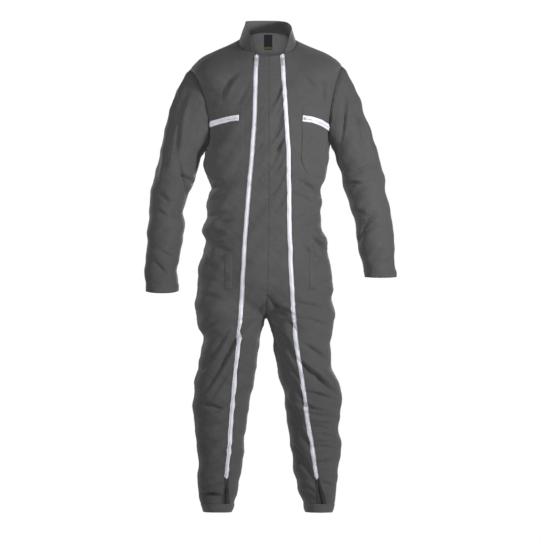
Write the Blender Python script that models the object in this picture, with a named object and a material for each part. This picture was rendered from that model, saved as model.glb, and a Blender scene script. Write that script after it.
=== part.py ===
"""Boiler suit, filled out as if worn, with no wearer.

The origin lies on the line through both shoulders, in the middle of the suit.
+Z is up, the front faces -Y, and "left" is the side at -X.
Tables hold millimetres. Every wall is an outer surface and the same surface moved in.
"""
import math

import bmesh
import bpy
import numpy as np
from mathutils import Matrix, Vector

MM = 0.001
WALL = 2.0
SEAM_GAP = 0.3
OVERLAY_GAP = 0.9
SIDES = {"left": -1, "right": 1}

# Heights of the centre front, which name the rows of every body panel.
NECK_V = 10.0
SHOULDER_TIP_V = -60.0
CHEST_V = -285.0
HIP_V = -700.0
FORK_V = -826.0
ZIP_END_V = -1338.0
HEM_V = -1420.0
BAND_END_V = -1446.0
ARMHOLE_STEPS = 9
CROTCH_GAP = 2.2
FORK_REACH = 0.22
ROWS = np.concatenate([
    np.linspace(NECK_V, SHOULDER_TIP_V, 5),
    np.linspace(SHOULDER_TIP_V, CHEST_V, ARMHOLE_STEPS + 1)[1:],
    np.linspace(CHEST_V, FORK_V, 22)[1:],
    np.linspace(FORK_V, ZIP_END_V, 21)[1:],
    np.linspace(ZIP_END_V, HEM_V, 4)[1:],
])

# Outer edge of torso and leg, seen from the front: height, distance from the middle.
OUTLINE = {
    "left": (
        ("z", "out"),
        (-266, 200), (-288, 199), (-336, 205), (-384, 195), (-413, 183), (-432, 192),
        (-461, 198), (-490, 195), (-528, 205), (-547, 211), (-576, 202), (-614, 208),
        (-659, 218), (-720, 224), (-774, 234), (-826, 228), (-854, 221), (-886, 209),
        (-925, 214), (-960, 218), (-989, 222), (-1008, 232), (-1066, 240), (-1104, 243),
        (-1142, 238), (-1184, 234), (-1232, 230), (-1315, 221), (-1360, 224),
        (-1402, 221), (-1424, 215), (-1450, 206),
    ),
    "right": (
        ("z", "out"),
        (-260, 202), (-278, 199), (-304, 195), (-339, 189), (-387, 179), (-416, 171),
        (-454, 176), (-493, 167), (-538, 173), (-573, 188), (-608, 190), (-640, 195),
        (-694, 202), (-736, 208), (-758, 205), (-797, 211), (-861, 205), (-915, 199),
        (-960, 202), (-1008, 214), (-1046, 229), (-1085, 237), (-1114, 234),
        (-1168, 230), (-1264, 234), (-1309, 227), (-1344, 221), (-1373, 218),
        (-1398, 214), (-1430, 209), (-1450, 200),
    ),
}
# Inner edge of each leg, below the fork.
INSEAM = {
    "left": (
        ("z", "in"),
        (-826, 9), (-848, 16), (-928, 29), (-989, 42), (-1066, 54), (-1142, 67),
        (-1216, 77), (-1296, 83), (-1354, 90), (-1392, 97), (-1421, 107), (-1450, 119),
    ),
    "right": (
        ("z", "in"),
        (-826, -3), (-858, 6), (-915, 16), (-998, 32), (-1078, 51), (-1168, 64),
        (-1219, 70), (-1290, 77), (-1347, 90), (-1402, 103), (-1421, 110), (-1450, 119),
    ),
}
# Depth of the body: y of the centre front, the side seam and the centre back.
DEPTH = (
    ("z", "front", "side", "back"),
    (92, -80, -5, 64), (10, -92, -4, 94), (-60, -112, 0, 108), (-150, -128, 0, 118),
    (-285, -135, 0, 119), (-350, -132, 0, 110), (-415, -125, 0, 98), (-480, -128, 0, 104),
    (-560, -134, 0, 122), (-640, -136, 2, 138), (-720, -134, 4, 143), (-826, -124, 6, 126),
    (-900, -112, 6, 114), (-990, -100, 6, 99), (-1100, -86, 12, 104), (-1200, -78, 14, 103),
    (-1300, -70, 14, 93), (-1400, -64, 12, 84), (-1450, -60, 12, 80),
)
# Centre seam: it runs a little to the left towards the fork.
CENTRE = (("z", "x"), (92, 0), (-500, 0), (-650, -2), (-826, -6), (-1450, -6))
# Middle line of each long zip, and half the width of the slot that zip and gusset fill.
ZIP_LINE = (
    ("z", "left", "right", "left_half", "right_half"),
    (10, 36, 46, 7.5, 7.5), (-96, 40, 53, 7.3, 7.3), (-192, 43, 59, 7.3, 7.3),
    (-288, 50, 65, 7.3, 7.3), (-384, 58, 67, 7.3, 7.3), (-480, 66, 68, 7.3, 7.3),
    (-576, 73, 70, 7.3, 7.3), (-672, 79, 74, 7.3, 7.3), (-768, 83, 79, 7.3, 7.3),
    (-864, 90, 86, 7.3, 7.3), (-960, 99, 99, 7.3, 7.3), (-1056, 108, 114, 7.3, 7.3),
    (-1152, 115, 127, 7.3, 7.3), (-1248, 123, 143, 7.3, 7.3), (-1338, 132, 156, 7.3, 7.3),
    (-1420, 133, 170, 13, 16), (-1450, 134, 173, 13, 16),
)
# Shoulder tip and underarm of each side, and how far the armhole curves in.
ARMHOLE = {
    "left": {"tip": (250, 5, -30), "underarm": (200, 0, -284),
             "front_in": (30, 58), "back_in": (14, 34)},
    "right": {"tip": (238, 5, -20), "underarm": (199, 0, -268),
              "front_in": (16, 32), "back_in": (6, 20)},
}
ARMHOLE_FORWARD = 74.0
ARMHOLE_RISE = (30.0, -60.0)
NECK_POINT = {"left": (94, -5, 56), "right": (92, -5, 53)}
SHOULDER_ARCH = {"left": 14.0, "right": 13.0}
UNDERARM_BLEND = 80.0
BACK_Z_AT_TIP = 0.0
BACK_NECK_Z = 92.0
# Direction in which front and back reach armhole (0 to 1) and shoulder seam (1 to 2).
ARRIVAL = (
    ("q", "out", "back", "front_up", "back_up"),
    (0, 0.0, 1.0, 0.0, 0.0), (0.3, 0.75, 0.65, 0.05, 0.0), (0.6, 0.75, 0.62, 0.2, 0.1),
    (0.85, 0.5, 0.75, 0.4, -0.05), (1, 0.15, 0.95, 0.22, -0.22),
    (1.5, 0.05, 0.95, 0.25, -0.25), (2, 0.0, 0.9, 0.42, -0.42),
)
# Direction shared by both walls where sleeve and body meet.
ARMHOLE_MITER = (
    ("a", "out", "forward", "up"),
    (0, 0.2, 0.0, -0.98), (0.15, 0.25, 0.75, -0.6), (0.35, 0.4, 0.9, -0.1),
    (0.65, 0.5, 0.8, 0.3), (0.85, 0.5, 0.5, 0.7), (1, 0.45, 0.0, 0.9),
)
HANDLE = 0.58
ARRIVAL_HANDLE = 0.34

# Sleeves: outer and inner edge seen from the front, from below the underarm to the wrist.
SLEEVE = {
    "left": (
        ("z", "out", "in"),
        (-326, 353, 219), (-346, 358, 225), (-378, 365, 231), (-413, 372, 243),
        (-451, 379, 259), (-490, 384, 271), (-531, 387, 270), (-586, 387, 275),
        (-630, 389, 282), (-656, 391, 287), (-698, 393, 286), (-738, 389, 286),
    ),
    "right": (
        ("z", "out", "in"),
        (-326, 359, 225), (-368, 368, 234), (-413, 377, 244), (-458, 388, 259),
        (-509, 397, 272), (-586, 404, 285), (-643, 408, 298), (-694, 410, 307),
    ),
}
SLEEVE_TOP_Z = -326.0
SLEEVE_DEPTH = (
    ("z", "half", "mid"),
    (-326, 77, 0), (-400, 74, -5), (-480, 70, -13), (-560, 62, -26), (-640, 54, -40),
    (-700, 48, -50), (-740, 45, -55),
)
SLEEVE_HEAD_STEPS = (0.0, 0.1, 0.26, 0.44, 0.63, 0.82, 1.0)
SLEEVE_ROWS = 16
SLEEVE_GAP = 0.6
# How far the head of each sleeve stands out and up at the shoulder, and how full it is.
SLEEVE_HEAD = {"left": (0.18, 0.12, 0.05), "right": (0.16, 0.1, -0.05)}

# Collar: its top edge from the middle of the back (0) to the zip (1).
COLLAR = (
    ("q", "left", "left_z", "right", "right_z", "y"),
    (0, 0, 128, 0, 128, 55), (0.2, 34, 128, 34, 127, 50), (0.4, 62, 126, 60, 122, 25),
    (0.56, 69, 124, 70, 114, -5), (0.8, 71, 121, 75, 104, -45), (1, 70, 119, 76, 98, -76),
)
COLLAR_STEPS = 4
COLLAR_BULGE = 0.5
NECK_AXIS_Y = -10.0

# Chest pocket patches: inner edge, and the slanted zip on each.
POCKET_INNER = (
    ("z", "left", "right"),
    (10, 76, 95), (-130, 79, 111), (-240, 77, 108), (-340, 80, 104), (-450, 98, 108),
    (-640, 112, 112), (-826, 124, 118), (-1056, 138, 146), (-1250, 150, 168),
    (-1420, 160, 190),
)
POCKET_TOP_V = -147.0
POCKET_BOTTOM_V = -392.0
POCKET_CORNER = 3
SIDE_COLUMNS = (0.0, 0.23, 0.44, 0.64, 0.83, 1.0)
PATCH_WALL = 1.4
CHEST_ZIP = {
    "left": (("column", "z", "half"), (1.4, -188, 8.6), (2.4, -190, 8.8), (3.8, -200, 9.4),
             (4.9, -212, 9.8)),
    "right": (("column", "z", "half"), (1, -189, 9.2), (2.4, -192, 9.2), (3.8, -205, 9.6),
              (4.9, -222, 10.4)),
}
CHEST_ZIP_COLUMNS = {"left": (1.48, 2.0, 3.0, 4.0, 4.9), "right": (1.12, 2.0, 3.0, 4.0, 4.9)}
CHEST_ZIP_WALL = 1.2
HIP_WELT = {"left": (-618, -735), "right": (-595, -735)}
HIP_WELT_COLUMN = {"left": (1.35, 1.62), "right": (1.35, 1.66)}

# Zip sliders and their pull tabs, in the zip's own directions.
SLIDER_WIDTH = 9.0
SLIDER_LENGTH = 12.0
SLIDER_BASE = 2.6
CHEEK_TOP = 5.0
CHEEK_INNER = 2.6
CHEEK_OUTER = 4.0
TAB_WIDTH = 4.4
TAB_LENGTH = 24.0
TAB_THICK = 1.4
TAB_CLEAR = 0.3
FRONT_SLIDER_V = -6.0
CHEST_SLIDER_COLUMN = {"left": 1.76, "right": 1.5}

LABEL = {"left": 13.0, "right": 14.0, "top": 86.0, "bottom": 38.0, "thick": 0.8}

# Largest folds: from one end to the other, half-width and depth of the trough.
FOLDS = (
    ("face", "x0", "z0", "x1", "z1", "width", "depth"),
    ("front", -208, -372, -145, -392, 11, 6), ("front", -200, -503, -130, -488, 12, 5),
    ("front", -200, -545, -140, -556, 11, 6), ("front", -178, -592, -112, -616, 12, 4),
    ("front", -204, -622, -168, -668, 12, 4), ("front", 100, -388, 170, -434, 13, 8),
    ("front", 116, -526, 164, -494, 11, 5), ("front", 140, -562, 188, -616, 13, 8),
    ("front", 138, -668, 176, -626, 13, 5), ("front", 88, -776, 186, -796, 12, 6),
    ("front", 132, -866, 176, -812, 13, 4), ("front", 4, -764, 92, -866, 12, 8),
    ("front", -10, -780, -94, -884, 13, 7), ("front", 8, -838, 88, -936, 12, 6),
    ("front", 52, -236, 14, -338, 11, 4), ("front", 50, -158, 16, -244, 11, 4),
    ("front", -92, -876, -202, -1064, 15, 7), ("front", -126, -862, -206, -990, 15, 6),
    ("front", -228, -1092, -136, -1122, 13, 5), ("front", 114, -908, 186, -956, 12, 6),
    ("front", 110, -972, 226, -1076, 15, 10), ("front", 116, -1060, 224, -1090, 13, 6),
    ("front", 18, -900, 98, -1026, 13, 6), ("front", 46, -1060, 110, -1180, 13, 5),
    ("front", 58, -1216, 142, -1316, 14, 7), ("front", 130, -1170, 200, -1180, 11, 4),
    ("front", 140, -1236, 214, -1240, 11, 4), ("front", 150, -1300, 222, -1262, 12, 4),
    ("front", -218, -1386, -146, -1392, 11, 9), ("front", -120, -1190, -220, -1240, 14, 4),
    ("front", 106, -1376, 150, -1404, 10, 4), ("front", -272, -374, -234, -396, 12, 8),
    ("front", -284, -332, -258, -436, 11, 6), ("front", -350, -424, -312, -462, 12, 4),
    ("front", -308, -502, -266, -484, 12, 6), ("front", -370, -640, -320, -690, 12, 4),
    ("front", 224, -396, 284, -394, 12, 8), ("front", 238, -380, 346, -332, 12, 5),
    ("front", 252, -486, 304, -488, 11, 7), ("front", 292, -520, 356, -484, 12, 5),
    ("front", 282, -600, 316, -520, 12, 4), ("front", 250, -106, 232, -262, 13, 5),
    ("front", -292, -64, -316, -286, 14, 4), ("back", -190, -408, 190, -414, 12, 6),
    ("back", -178, -446, 170, -438, 12, 6), ("back", -186, -484, -20, -476, 13, 5),
    ("back", 14, -478, 176, -486, 13, 5), ("back", -30, -520, -196, -560, 14, 4),
    ("back", 30, -524, 186, -566, 14, 4), ("back", -14, -770, -180, -850, 15, 7),
    ("back", 6, -770, 176, -846, 15, 7), ("back", -30, -850, -150, -930, 15, 6),
    ("back", 26, -850, 150, -926, 15, 6), ("back", -220, -990, -90, -1020, 14, 7),
    ("back", -212, -1040, -70, -1050, 14, 7), ("back", 60, -1010, 208, -990, 14, 7),
    ("back", 80, -1050, 226, -1046, 14, 7), ("back", -230, -1330, -130, -1350, 13, 6),
    ("back", 120, -1340, 220, -1326, 13, 6), ("back", -150, -120, -110, -300, 16, 5),
    ("back", 146, -120, 112, -300, 16, 5), ("back", -370, -440, -280, -470, 13, 6),
    ("back", 270, -450, 384, -430, 13, 6), ("back", -380, -500, -290, -520, 13, 5),
    ("back", 280, -500, 396, -500, 13, 5),
)
RIDGE_SHARE = 0.55
FOLD_REACH = 0.25

COLOURS = {
    "cloth": (0.040, 0.041, 0.044), "gusset": (0.016, 0.016, 0.018),
    "zip": (0.82, 0.82, 0.80), "slider": (0.78, 0.78, 0.77), "label": (0.03, 0.03, 0.03),
}


def smooth(table, name, at):
    """A column of a table at any first-column value, as a smooth curve through its rows."""
    head = table[0]
    rows = np.array(table[1:], float)
    rows = rows[np.argsort(rows[:, 0])]
    x, y = rows[:, 0], rows[:, head.index(name)]
    slope = np.gradient(y, x)
    at = np.clip(at, x[0], x[-1])
    i = np.clip(np.searchsorted(x, at) - 1, 0, len(x) - 2)
    step = x[i + 1] - x[i]
    t = (at - x[i]) / step
    return (
        (1 + 2 * t) * (1 - t) ** 2 * y[i] + t * (1 - t) ** 2 * step * slope[i]
        + t * t * (3 - 2 * t) * y[i + 1] + t * t * (t - 1) * step * slope[i + 1]
    )


def bezier(corners, t):
    """Points of cubic curves: corners (n, 4, 3) at t (n, m) give (n, m, 3)."""
    weights = np.stack([(1 - t) ** 3, 3 * t * (1 - t) ** 2, 3 * t * t * (1 - t), t ** 3], -1)
    return np.einsum("nmk,nkc->nmc", weights, corners)


def unit(vectors):
    """The same directions at length one."""
    return vectors / np.linalg.norm(vectors, axis=-1, keepdims=True)


def points(x, y, z):
    """An array of points from their coordinates."""
    return np.stack(np.broadcast_arrays(x, y, z), -1).astype(float)


def armhole_edge(side, face, a):
    """Points of the armhole from underarm (a = 0) to shoulder tip (a = 1)."""
    sign, shape = SIDES[side], ARMHOLE[side]
    low = np.array(shape["underarm"]) * (sign, 1, 1)
    tip = np.array(shape["tip"]) * (sign, 1, 1)
    inward = shape[face + "_in"]
    forward = -ARMHOLE_FORWARD if face == "front" else ARMHOLE_FORWARD
    first = low + (-sign * inward[0], forward, ARMHOLE_RISE[0])
    second = tip + (-sign * inward[1], forward, ARMHOLE_RISE[1])
    return bezier(np.array([[low, first, second, tip]]), np.atleast_1d(a)[None])[0]


def edge_of(side, face, v):
    """Outer edge of a body panel: side seam, then armhole, then shoulder seam."""
    sign, shape = SIDES[side], ARMHOLE[side]
    a = np.clip((v - CHEST_V) / (SHOULDER_TIP_V - CHEST_V), 0, 1)
    s = np.clip((v - SHOULDER_TIP_V) / (NECK_V - SHOULDER_TIP_V), 0, 1)[:, None]
    edge = armhole_edge(side, face, a)
    tip = np.array(shape["tip"]) * (sign, 1, 1)
    neck = np.array(NECK_POINT[side]) * (sign, 1, 1)
    arch = 6.75 * SHOULDER_ARCH[side] * s * (1 - s) ** 2 * (0, 0, 1)
    edge = np.where(s > 0, tip + (neck - tip) * s + arch, edge)
    lift = shape["underarm"][2] - CHEST_V
    z = v + lift * np.clip(1 - (CHEST_V - v) / UNDERARM_BLEND, 0, 1) ** 2
    low = points(sign * smooth(OUTLINE[side], "out", z), smooth(DEPTH, "side", z), z)
    return np.where((v < CHEST_V)[:, None], low, edge)


def centre_z(face, v):
    """Height of the centre line on a row: the back rises above the front near the neck."""
    if face == "front":
        return v
    heights = (CHEST_V, CHEST_V, BACK_Z_AT_TIP, BACK_NECK_Z)
    above = np.interp(v, (CHEST_V - 1, CHEST_V, SHOULDER_TIP_V, NECK_V), heights)
    return np.where(v < CHEST_V, v, above)


def torso_corners(side, face, v):
    """Corner points of each row's curve, from the centre line out to the edge."""
    sign = SIDES[side]
    turn = 1 if face == "front" else -1
    z = centre_z(face, v)
    edge = edge_of(side, face, v)
    centre = points(smooth(CENTRE, "x", z), smooth(DEPTH, face, z), z)
    q = np.clip((v - CHEST_V) / (SHOULDER_TIP_V - CHEST_V), 0, 1)
    q = q + np.clip((v - SHOULDER_TIP_V) / (NECK_V - SHOULDER_TIP_V), 0, 1)
    arrive = unit(points(
        sign * smooth(ARRIVAL, "out", q), turn * smooth(ARRIVAL, "back", q),
        smooth(ARRIVAL, face + "_up", q),
    ))
    across = (edge - centre) * (HANDLE, 0, 0)
    span = np.linalg.norm(edge - centre, axis=1, keepdims=True)
    return np.stack([centre, centre + across, edge - arrive * span * ARRIVAL_HANDLE, edge], 1)


def leg_corners(side, face, v, arch):
    """Corner points of half a leg ring, from the inseam round to the side seam."""
    sign = SIDES[side]
    centre = smooth(CENTRE, "x", v) + sign * (SEAM_GAP / 2 + CROTCH_GAP * arch)
    inner = np.where(v < FORK_V, sign * smooth(INSEAM[side], "in", v), centre)
    outer = edge_of(side, face, v)[:, 0]
    mid = smooth(DEPTH, "side", v)
    reach = mid + 4 / 3 * (smooth(DEPTH, face, v) - mid)
    return np.stack([
        points(inner, mid, v), points(inner, reach, v), points(outer, reach, v),
        points(outer, mid, v),
    ], 1)


def base_point(side, face, v, t):
    """The smooth body: torso rows that turn into leg rings, late and steeply beside the fork."""
    down = np.clip((HIP_V - v) / (HIP_V - FORK_V), 0, 1)
    arch = 1 - np.sqrt(np.clip(1 - down ** 2, 0, 1))
    torso = bezier(torso_corners(side, face, v), t)
    leg = bezier(leg_corners(side, face, v, arch), t)
    ease = down * down * (3 - 2 * down)
    near = np.exp(-((t / FORK_REACH) ** 2))
    share = ease[:, None] + (arch - ease)[:, None] * near
    return torso + (leg - torso) * share[..., None]


def base_normal(side, face, v, t):
    """Outward direction of the smooth body at rows v and places t."""
    dt, dv = 1e-3, 0.5
    low, high = np.clip(t - dt, 0, 1), np.clip(t + dt, 0, 1)
    along = base_point(side, face, v, high) - base_point(side, face, v, low)
    up = base_point(side, face, v + dv, t) - base_point(side, face, v - dv, t)
    sign = SIDES[side] if face == "front" else -SIDES[side]
    return unit(np.cross(along, up) * sign)


def fold_depth(where, normals):
    """How far the folds move each point along its normal: troughs in, ridges out."""
    move = np.zeros(where.shape[:-1])
    for face, x0, z0, x1, z1, width, depth in FOLDS[1:]:
        along = np.array((x1 - x0, z1 - z0), float)
        length = np.hypot(*along)
        along = along / length
        offset = where[..., (0, 2)] - (x0, z0)
        share = offset @ along / length
        across = offset @ np.array((-along[1], along[0]))
        ends = np.clip(1 - np.abs(share - 0.5) / (0.5 + FOLD_REACH), 0, 1)
        ends = np.sin(ends * math.pi / 2) ** 2
        trough = np.exp(-((across / width) ** 2))
        ridge = np.exp(-(((across - 1.9 * width) / (1.2 * width)) ** 2))
        facing = -normals[..., 1] if face == "front" else normals[..., 1]
        seen = np.clip(facing * 1.6 + 0.1, 0, 1)
        move += depth * (RIDGE_SHARE * ridge - trough) * ends * seen
    return move


def body_point(side, face, v, t):
    """Outer surface of the body, with its folds."""
    where = base_point(side, face, v, t)
    normals = base_normal(side, face, v, t)
    edge = np.clip((NECK_V - v) / 30, 0, 1)[:, None]
    return where + normals * (fold_depth(where, normals) * edge)[..., None]


def body_normal(side, face, v, t):
    """Outward direction of the folded body."""
    dt, dv = 1e-2, 3.0
    low, high = np.clip(t - dt, 0, 1), np.clip(t + dt, 0, 1)
    along = body_point(side, face, v, high) - body_point(side, face, v, low)
    above = np.minimum(v + dv, NECK_V)
    up = body_point(side, face, above, t) - body_point(side, face, v - dv, t)
    sign = SIDES[side] if face == "front" else -SIDES[side]
    return unit(np.cross(along, up) * sign)


def armhole_miter(side, face, a):
    """Wall direction that body and sleeve share along the armhole."""
    forward = -1 if face == "front" else 1
    return unit(points(
        SIDES[side] * smooth(ARMHOLE_MITER, "out", a),
        forward * smooth(ARMHOLE_MITER, "forward", a), smooth(ARMHOLE_MITER, "up", a),
    ))


def neck_outward(where):
    """Level direction away from the neck's axis."""
    return unit((where - (0, NECK_AXIS_Y, 0)) * (1, 1, 0))


def neck_miter(where):
    """Wall direction that body and collar share along the neckline."""
    return unit(neck_outward(where) + (0, 0, 0.9))


def place_at_x(side, v, distance):
    """Where on each front row the panel lies this far from the middle."""
    low, high = np.zeros(len(v)), np.ones(len(v))
    for _ in range(40):
        mid = (low + high) / 2
        x = base_point(side, "front", v, mid[:, None])[:, 0, 0] * SIDES[side]
        low, high = np.where(x < distance, mid, low), np.where(x < distance, high, mid)
    return (low + high) / 2


def slot_edges(side, v):
    """Inner and outer edge of the slot between centre and side panel."""
    middle = smooth(ZIP_LINE, side, v)
    half = smooth(ZIP_LINE, side + "_half", v)
    return place_at_x(side, v, middle - half), place_at_x(side, v, middle + half)


def pull_in(side, face, v, t, gap):
    """Moves a panel's first and last column in by the gap, along the cloth."""
    for column, step in ((0, 1e-3), (-1, -1e-3)):
        here = t[:, column:][:, :1]
        speed = body_point(side, face, v, here + step) - body_point(side, face, v, here)
        t[:, column] += gap * step / np.linalg.norm(speed[:, 0], axis=-1)
    return t


def panel_grid(side, face, v, t):
    """Outer points and wall directions of a panel, with shared mitres at neck and armhole."""
    t = pull_in(side, face, v, t.copy(), SEAM_GAP / 2)
    where = body_point(side, face, v, t)
    normals = body_normal(side, face, v, t)
    if t[0, -1] > 0.9:
        rows = np.nonzero((v >= CHEST_V - 0.01) & (v <= SHOULDER_TIP_V + 0.01))[0]
        a = (v[rows] - CHEST_V) / (SHOULDER_TIP_V - CHEST_V)
        normals[rows, -1] = armhole_miter(side, face, np.clip(a, 0, 1))
    rows = np.nonzero(v >= NECK_V - 0.01)[0]
    normals[rows] = neck_miter(where[rows])
    rows = np.nonzero(v <= HEM_V + 0.01)[0]
    normals[rows] = unit(normals[rows] * (1, 1, 0))
    return where, normals


def wall_faces(rows, columns, closed):
    """Triangles of a wall whose outer grid comes first and inner grid second."""
    faces = []
    inner = rows * columns
    wide = columns if closed else columns - 1
    for i in range(rows - 1):
        for j in range(wide):
            k = (j + 1) % columns
            a, b = i * columns + j, i * columns + k
            c, d = a + columns, b + columns
            faces += [(a, b, d), (a, d, c)]
            faces += [(inner + a, inner + d, inner + b), (inner + a, inner + c, inner + d)]
    for j in range(wide):
        k = (j + 1) % columns
        last = (rows - 1) * columns
        faces += [(j, inner + k, k), (j, inner + j, inner + k)]
        faces += [(last + j, last + k, inner + last + k),
                  (last + j, inner + last + k, inner + last + j)]
    if not closed:
        for i in range(rows - 1):
            a, b = i * columns, (i + 1) * columns
            c, d = a + columns - 1, b + columns - 1
            faces += [(a, b, inner + b), (a, inner + b, inner + a)]
            faces += [(c, inner + d, d), (c, inner + c, inner + d)]
    return faces


def add_mesh(name, vertices, faces, finish, smooth_shade=True):
    """A closed mesh object facing out, from millimetres."""
    mesh = bpy.data.meshes.new(name)
    mesh.from_pydata([tuple(p) for p in np.asarray(vertices) * MM], [], faces)
    shape = bmesh.new()
    shape.from_mesh(mesh)
    bmesh.ops.recalc_face_normals(shape, faces=shape.faces)
    shape.to_mesh(mesh)
    shape.free()
    mesh.polygons.foreach_set("use_smooth", [smooth_shade] * len(mesh.polygons))
    mesh.materials.append(finish)
    thing = bpy.data.objects.new(name, mesh)
    bpy.context.scene.collection.objects.link(thing)
    return thing


def add_wall(name, where, normals, finish, thickness=WALL, closed=False):
    """A wall between a grid of outer points and the same grid moved in."""
    rows, columns = where.shape[:2]
    inside = where - normals * thickness
    vertices = np.concatenate([where.reshape(-1, 3), inside.reshape(-1, 3)])
    return add_mesh(name, vertices, wall_faces(rows, columns, closed), finish)


def material(name, roughness):
    """A plain colour with the given roughness."""
    made = bpy.data.materials.new(name)
    made.use_nodes = True
    shader = made.node_tree.nodes["Principled BSDF"]
    shader.inputs["Base Color"].default_value = (*COLOURS[name], 1)
    shader.inputs["Roughness"].default_value = roughness
    made.diffuse_color = (*COLOURS[name], 1)
    return made


def spread(start, end, count):
    """Columns evenly between two places on each row."""
    return start[:, None] + (end - start)[:, None] * np.linspace(0, 1, count + 1)


def front_columns(side, v):
    """Columns of the front side panel: the second lies on the chest pocket's inner edge."""
    _, outer = slot_edges(side, v)
    pocket = place_at_x(side, v, smooth(POCKET_INNER, side, v))
    rest = pocket[:, None] + (1 - pocket[:, None]) * np.array(SIDE_COLUMNS)
    return np.concatenate([outer[:, None], rest], 1)


def front_panels(side, cloth):
    """The two front panels either side of a long zip; returns the side panel's grid."""
    inner, _ = slot_edges(side, ROWS)
    where, normals = panel_grid(side, "front", ROWS, spread(np.zeros(len(ROWS)), inner, 3))
    add_wall("front_centre_" + side, where, normals, cloth)
    where, normals = panel_grid(side, "front", ROWS, front_columns(side, ROWS))
    add_wall("front_side_" + side, where, normals, cloth)
    return where, normals


def back_panel(side, cloth):
    """Half of the back, from neck to hem; returns its outer points."""
    columns = spread(np.zeros(len(ROWS)), np.ones(len(ROWS)), 7)
    where, normals = panel_grid(side, "back", ROWS, columns)
    add_wall("back_" + side, where, normals, cloth)
    return where


def long_zip(side, tape):
    """The tape of a long zip, from the neck to just above the ankle."""
    v = ROWS[ROWS >= ZIP_END_V - 0.01]
    start, end = slot_edges(side, v)
    where, normals = panel_grid(side, "front", v, spread(start, end, 1))
    add_wall("zip_front_" + side, where - normals * 0.2, normals, tape, 1.4)


def ankle_gusset(side, cloth):
    """The cloth let in below the zip, folded inwards along its middle."""
    v = ROWS[ROWS <= ZIP_END_V + 0.01].copy()
    v[0] -= SEAM_GAP
    start, end = slot_edges(side, v)
    where, normals = panel_grid(side, "front", v, spread(start, end, 2))
    where[1:, 1] -= normals[1:, 1] * 5
    add_wall("ankle_gusset_" + side, where, normals, cloth)


def hem_band(side, cloth):
    """A ring under the leg's own edge, standing a little outside it."""
    v = np.linspace(HEM_V - SEAM_GAP, BAND_END_V, 3)
    t = np.tile(np.linspace(0, 1, 10), (len(v), 1))
    front = body_point(side, "front", v, t), body_normal(side, "front", v, t)
    back = body_point(side, "back", v, t), body_normal(side, "back", v, t)
    where = np.concatenate([front[0], back[0][:, -2:0:-1]], 1)
    normals = unit(np.concatenate([front[1], back[1][:, -2:0:-1]], 1) * (1, 1, 0))
    add_wall("hem_band_" + side, where + normals * 0.8, normals, cloth, 2.6, closed=True)


def sleeve_grid(side, head_steps, z_rows, around):
    """Rings from the armhole to the wrist; column 0 lies on top, then front, inside, back."""
    sign = SIDES[side]
    half = around // 2
    a = np.linspace(1, 0, half + 1)
    start = np.concatenate([
        armhole_edge(side, "front", a), armhole_edge(side, "back", a[::-1])[1:-1]])
    angle = np.linspace(0, 2 * math.pi, around, endpoint=False)

    def ring(z):
        outer, inner = smooth(SLEEVE[side], "out", z), smooth(SLEEVE[side], "in", z)
        x = sign * ((outer + inner) / 2 + (outer - inner) / 2 * np.cos(angle))
        y = smooth(SLEEVE_DEPTH, "mid", z) - smooth(SLEEVE_DEPTH, "half", z) * np.sin(angle)
        return points(x, y, z)

    end = ring(SLEEVE_TOP_Z)
    out, up, full = SLEEVE_HEAD[side]
    leave = unit(points(
        sign * (0.57 + out * np.cos(angle)), -0.25 * np.sin(angle),
        up * np.cos(angle) - 0.75,
    ))
    arrive = unit(points(sign * 0.25, 0 * angle, -1))
    span = np.linalg.norm(end - start, axis=1)[:, None]
    arrive = arrive * span * (0.75 - 0.22 * np.cos(angle))[:, None]
    start = start + leave * SLEEVE_GAP
    leave = leave * span * (0.75 - 0.22 * np.cos(angle) + full * (1 + np.cos(angle)))[:, None]
    rings = []
    for w in head_steps:
        rings.append(
            (1 + 2 * w) * (1 - w) ** 2 * start + w * (1 - w) ** 2 * leave
            + w * w * (3 - 2 * w) * end + w * w * (w - 1) * arrive
        )
    rings += [ring(z) for z in z_rows[1:]]
    return np.stack(rings)


def ring_normals(where, sign):
    """Outward directions of a tube's grid."""
    around = np.roll(where, -1, 1) - np.roll(where, 1, 1)
    down = np.gradient(where, axis=0)
    return unit(np.cross(around, down) * sign)


def sleeve(side, cloth):
    """A sleeve from armhole to wrist, open at both ends."""
    sign = SIDES[side]
    around = 2 * ARMHOLE_STEPS
    wrist = SLEEVE[side][-1][0]
    z_rows = np.linspace(SLEEVE_TOP_Z, wrist, SLEEVE_ROWS + 1)
    where = sleeve_grid(side, SLEEVE_HEAD_STEPS, z_rows, around)
    normals = ring_normals(where, sign)
    ease = np.clip(np.arange(len(where)) / 3, 0, 1)[:, None]
    where = where + normals * (fold_depth(where, normals) * ease)[..., None]
    normals = ring_normals(where, sign)
    a = np.linspace(1, 0, ARMHOLE_STEPS + 1)
    normals[0, :ARMHOLE_STEPS + 1] = armhole_miter(side, "front", a)
    normals[0, ARMHOLE_STEPS + 1:] = armhole_miter(side, "back", a[::-1][1:-1])
    add_wall("sleeve_" + side, where, normals, cloth, closed=True)


def collar_half(side, bottom):
    """Rows and wall directions of half the collar, from its end at the zip to the back."""
    length = np.concatenate([[0], np.cumsum(np.linalg.norm(np.diff(bottom, axis=0), axis=1))])
    q = 1 - length / length[-1]
    top = points(
        SIDES[side] * smooth(COLLAR, side, q), smooth(COLLAR, "y", q),
        smooth(COLLAR, side + "_z", q),
    )
    outward, miter = neck_outward(bottom), neck_miter(bottom)
    bottom = bottom + unit((0, 0, 1) - outward * 0.9) * SEAM_GAP * 1.2
    rows, directions = [], []
    for share in np.linspace(0, 1, COLLAR_STEPS + 1):
        bulge = outward * COLLAR_BULGE * 4 * share * (1 - share)
        rows.append(bottom + (top - bottom) * share + bulge)
        directions.append(unit(miter + (outward + (0, 0, 0.2) - miter) * min(1, 3 * share)))
    return np.stack(rows), np.stack(directions)


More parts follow.
